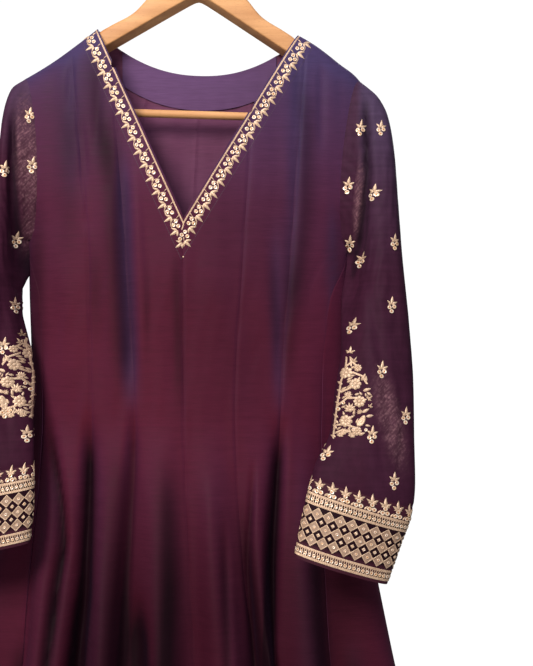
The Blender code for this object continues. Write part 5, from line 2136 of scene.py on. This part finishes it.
def tube_mesh(name: str, path: np.ndarray, radius: np.ndarray, sides: int = 20) -> bpy.types.Mesh:
    """A round tube with closed ends along a path in a plane of constant y.

    Args:
        name: The mesh's name.
        path: Points along it.
        radius: Its radius at each point.
        sides: How many sides it has.

    Returns:
        A closed mesh with its faces outward.
    """
    along = unit(np.gradient(path, axis=0))
    across = np.array((0.0, 1.0, 0.0))
    third = np.cross(along, across)
    angle = np.linspace(0.0, 2.0 * math.pi, sides, endpoint=False)
    build = bmesh.new()
    rings = []
    for point, out, size in zip(path, third, radius):
        ring = [point + size * (math.cos(a) * out + math.sin(a) * across) for a in angle]
        rings.append([build.verts.new(spot) for spot in ring])
    for low, high in zip(rings, rings[1:]):
        for c in range(sides):
            n = (c + 1) % sides
            build.faces.new((low[c], low[n], high[n], high[c]))
    build.faces.new(rings[0])
    build.faces.new(rings[-1])
    bmesh.ops.recalc_face_normals(build, faces=build.faces)
    mesh = bpy.data.meshes.new(name)
    build.to_mesh(mesh)
    build.free()
    mesh.shade_smooth()
    mesh.set_sharp_from_angle(angle=math.radians(50.0))
    return mesh


@dataclass
class Hanger:
    """A bowed wooden hanger with a round bar and a wire hook."""

    wood: bpy.types.Material
    steel: bpy.types.Material
    span: float = 0.180
    thickness: float = 0.018
    corner: float = 0.0055
    under_corner: float = 0.0022
    under_slant: float = 0.0040
    under_rise: float = 0.0425
    under_slope: float = 0.62
    tip_drop: float = 0.107
    tip_width: float = 0.016
    bar_radius: float = 0.0045
    bar_drop: float = 0.0945
    bar_edge: float = 0.0006
    wire_radius: float = 0.0018
    hook_radius: float = 0.017

    def under_edge(self, out: np.ndarray) -> np.ndarray:
        """The arms' lower edge, a distance out from the middle, with the tip's leg."""
        flat = np.sqrt(out**2 + 0.004**2) - 0.001
        plain = NECK_Z + self.under_rise - self.under_slope * flat
        inside = self.span - self.tip_width
        leg = eased(inside - 0.012, inside + 0.001, out)
        foot = NECK_Z - self.tip_drop + 0.0045 * eased(self.span - 0.007, self.span, out)
        return plain + (foot - plain) * leg

    def build_bow(self) -> bpy.types.Object:
        """Loft the two arms as one rounded bow."""
        out = np.concatenate([np.linspace(0.0, 0.145, 50), np.linspace(0.147, 0.1785, 30), (0.1795, 0.180)])
        x = np.concatenate([-out[:0:-1], out])
        away = np.abs(x)
        top, low = NECK_Z + ARM_TOP.at(away), self.under_edge(away)
        tip = np.sqrt(np.clip(1.0 - ((away - (self.span - 0.003)) / 0.003).clip(0.0) ** 2, 0.0, 1.0))
        half = (self.thickness / 2.0) * (0.55 + 0.45 * tip)
        build = bmesh.new()
        rings = []
        steps = np.radians(np.linspace(0.0, 90.0, 5))
        for px, high, foot, deep in zip(x, top, low, half):
            round_off = min(self.corner, deep * 0.95, 0.45 * (high - foot))
            ring = []
            for turn, (sy, sz) in enumerate(((1, 1), (-1, 1), (-1, -1), (1, -1))):
                bend = round_off if sz > 0 else min(self.under_corner, round_off)
                centre_y = sy * (deep - bend)
                centre_z = high - bend if sz > 0 else foot + bend - self.under_slant * (sy > 0)
                for step in steps if turn % 2 == 0 else steps[::-1]:
                    y = centre_y + sy * bend * math.cos(step)
                    ring.append((px, y, centre_z + sz * bend * math.sin(step)))
            rings.append([build.verts.new(Vector(spot)) for spot in hung(np.array(ring))])
        for left, right in zip(rings, rings[1:]):
            for c in range(len(left)):
                n = (c + 1) % len(left)
                build.faces.new((left[c], left[n], right[n], right[c]))
        build.faces.new(rings[0])
        build.faces.new(rings[-1])
        bmesh.ops.recalc_face_normals(build, faces=build.faces)
        mesh = bpy.data.meshes.new("hanger_bow")
        build.to_mesh(mesh)
        build.free()
        mesh.shade_smooth()
        mesh.set_sharp_from_angle(angle=math.radians(50.0))
        bow = add_piece("hanger_bow", mesh, self.wood)
        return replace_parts(bow, "hanger_arms")

    def build_bar(self) -> bpy.types.Object:
        """Turn the round bar, a hair short of the arms' legs."""
        half = self.span - self.tip_width - SEAM_GAP
        ends = np.array((half - self.bar_edge, half))
        x = np.concatenate([-ends[::-1], np.linspace(-half + 0.004, half - 0.004, 40), ends])
        path = np.stack([x, np.zeros_like(x), np.full_like(x, NECK_Z - self.bar_drop)], axis=1)
        radius = np.full(len(x), self.bar_radius)
        radius[[0, -1]] -= self.bar_edge
        bar = add_piece("hanger_rail", tube_mesh("hanger_rail", hung(path), radius, 28), self.wood)
        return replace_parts(bar, "hanger_bar")

    def build_hook(self) -> bpy.types.Object:
        """Bend the wire hook, with a small collar where it leaves the wood."""
        radius = self.hook_radius + self.wire_radius
        middle = -self.hook_radius
        foot = NECK_Z + float(ARM_TOP.at(0.0)) + SEAM_GAP
        heights = (foot, foot + 0.004, foot + 0.020, middle - 0.034)
        knots = [*((0.0, height) for height in heights), (0.003, middle - 0.026)]
        for turn in np.radians(np.linspace(-48.0, 195.0, 40)):
            knots.append((radius * math.cos(turn), middle + radius * math.sin(turn)))
        knots = np.array(knots)
        steps = lengths_along(knots)
        where = np.linspace(0.0, steps[-1], 150)
        line = SmoothLine(steps, knots).at(where)
        path = np.stack([line[:, 0], np.zeros(len(line)), line[:, 1]], axis=1)
        size = np.full(len(path), self.wire_radius)
        size += 0.0012 * (1.0 - eased(0.0015, 0.0032, where))
        size[-1] *= 0.6
        mesh = tube_mesh("hanger_wire", hung(path), size, 20)
        hook = add_piece("hanger_wire", mesh, self.steel)
        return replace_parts(hook, "hanger_hook")

    def build(self) -> None:
        """Make the bow, the bar and the hook."""
        self.build_bow()
        self.build_bar()
        self.build_hook()


# ---------------------------------------------------------------- studio


@dataclass
class Studio:
    """A pale floor, soft lights, white surroundings and the camera."""

    camera_place: Triple = (0.074, -1.18, -0.51)
    lens: float = 24.0 * 1027.0 / 666.0
    floor_z: float = -1.66
    floor_radius: float = 1.9

    def set_camera(self) -> None:
        """Look level along +Y at the front of the gown."""
        data = bpy.data.cameras.new("camera")
        data.sensor_fit = "VERTICAL"
        data.sensor_height = 24.0
        data.lens = self.lens
        data.clip_start = 0.05
        camera = bpy.data.objects.new("camera", data)
        camera.location = self.camera_place
        camera.rotation_euler = (math.pi / 2.0, 0.0, 0.0)
        bpy.context.scene.collection.objects.link(camera)
        bpy.context.scene.camera = camera

    def lay_floor(self) -> None:
        """Lay a round pale floor under the hanging gown."""
        build = bmesh.new()
        bmesh.ops.create_circle(build, cap_ends=True, segments=96, radius=self.floor_radius)
        bmesh.ops.translate(build, verts=build.verts, vec=(0.0, 0.0, self.floor_z))
        mesh = bpy.data.meshes.new("floor")
        build.to_mesh(mesh)
        build.free()
        bench = Bench("floor_paint")
        tone = bench.noise((3.0, 3.0, 3.0))
        bench.feed("Base Color", bench.blend(tone, (0.86, 0.86, 0.86), (0.90, 0.90, 0.90)))
        bench.set(Roughness=0.9)
        mesh.materials.append(bench.material)
        floor = bpy.data.objects.new("floor", mesh)
        bpy.context.scene.collection.objects.link(floor)

    def light(self, name: str, place: tuple, aim: tuple, size: float, power: float, colour: tuple) -> None:
        """Hang one soft square light.

        Args:
            name: The light's name.
            place: Where it hangs.
            aim: The point it faces.
            size: The length of its side.
            power: Its power in watts.
            colour: Its colour.
        """
        data = bpy.data.lights.new(name, "AREA")
        data.size = size
        data.energy = power
        data.color = colour
        lamp = bpy.data.objects.new(name, data)
        lamp.location = place
        lamp.visible_camera = False
        direction = Vector(aim) - Vector(place)
        lamp.rotation_euler = direction.to_track_quat("-Z", "Y").to_euler()
        bpy.context.scene.collection.objects.link(lamp)

    def set_world(self) -> None:
        """White surroundings, dimmer as a light than as a backdrop."""
        world = bpy.data.worlds.new("surroundings")
        world.use_nodes = True
        nodes, links = world.node_tree.nodes, world.node_tree.links
        soft = nodes["Background"]
        soft.inputs["Color"].default_value = (0.94, 0.95, 1.0, 1.0)
        soft.inputs["Strength"].default_value = 0.16
        seen = nodes.new("ShaderNodeBackground")
        seen.inputs["Color"].default_value = (1.0, 1.0, 1.0, 1.0)
        seen.inputs["Strength"].default_value = 1.05
        path = nodes.new("ShaderNodeLightPath")
        mix = nodes.new("ShaderNodeMixShader")
        links.new(path.outputs["Is Camera Ray"], mix.inputs[0])
        links.new(soft.outputs[0], mix.inputs[1])
        links.new(seen.outputs[0], mix.inputs[2])
        links.new(mix.outputs[0], nodes["World Output"].inputs["Surface"])
        bpy.context.scene.world = world
        bpy.context.scene.view_settings.view_transform = "Standard"

    def build(self) -> None:
        """Set up the whole studio."""
        self.set_world()
        self.lay_floor()
        self.light("key", (-0.65, -1.45, 0.45), (0.0, 0.0, -0.4), 0.7, 36.0, (1.0, 0.93, 0.86))
        self.light("sky", (0.1, -0.7, 1.1), (0.0, 0.0, -0.4), 1.0, 12.0, (0.80, 0.85, 1.0))
        self.light("fill", (1.7, -1.6, 0.1), (0.0, 0.0, -0.5), 1.4, 4.0, (0.96, 0.96, 1.0))
        self.light("back", (0.6, 2.0, 0.6), (0.0, 0.0, -0.7), 1.4, 26.0, (0.95, 0.97, 1.0))
        self.set_camera()


def main() -> None:
    """Build the gown and its hanger, then the studio around them."""
    silk = ShotSilk("shot_silk_cloth", (0.082, 0.0068, 0.0175), (0.056, 0.036, 0.100)).make()
    facing = ShotSilk("facing_silk_cloth", (0.095, 0.035, 0.078), (0.120, 0.062, 0.158)).make()
    sheer = SheerSilk("sheer_silk_cloth", (0.042, 0.0088, 0.0225), (0.200, 0.095, 0.115)).make()
    border = ShotSilk("border_silk_cloth", (0.050, 0.0120, 0.0220), (0.060, 0.030, 0.050)).make()
    beech = Beech("pale_beech", (0.70, 0.36, 0.15), (0.52, 0.24, 0.095)).make()
    steel = PlatedWire("plated_wire", (0.78, 0.78, 0.80)).make()
    gold = {
        Stuff.THREAD: Thread("gold_thread", (0.42, 0.24, 0.14), (0.84, 0.62, 0.43)).make(),
        Stuff.SPANGLE: Spangle("cream_spangle", (0.93, 0.78, 0.62), (0.80, 0.55, 0.34)).make(),
        Stuff.BEAD: Spangle("amber_bead", (0.50, 0.15, 0.035), (0.62, 0.24, 0.07)).make(),
        Stuff.FILLING: Thread("beige_filling", (0.28, 0.165, 0.108), (0.44, 0.29, 0.20), 0.05, 0.6).make(),
    }
    dark = Thread("plum_stitching", (0.030, 0.012, 0.022), (0.060, 0.028, 0.050), 0.0, 0.6).make()

    Hanger(beech, steel).build()
    kalis = Body(silk).build()
    BackFacing(facing).build()
    work = ThreadWork(gold)
    fine = ThreadWork({stuff: dark for stuff in Stuff})
    NeckWork([piece for key, piece in kalis.items() if key.face is Face.FRONT]).build(work, fine)
    for side in Side:
        grid, normals, seam, cloth = Sleeve(side, sheer, border).build()
        SleeveWork(side, grid, normals, seam, cloth).build(work)
    Studio().build()


if __name__ == "__main__":
    main()
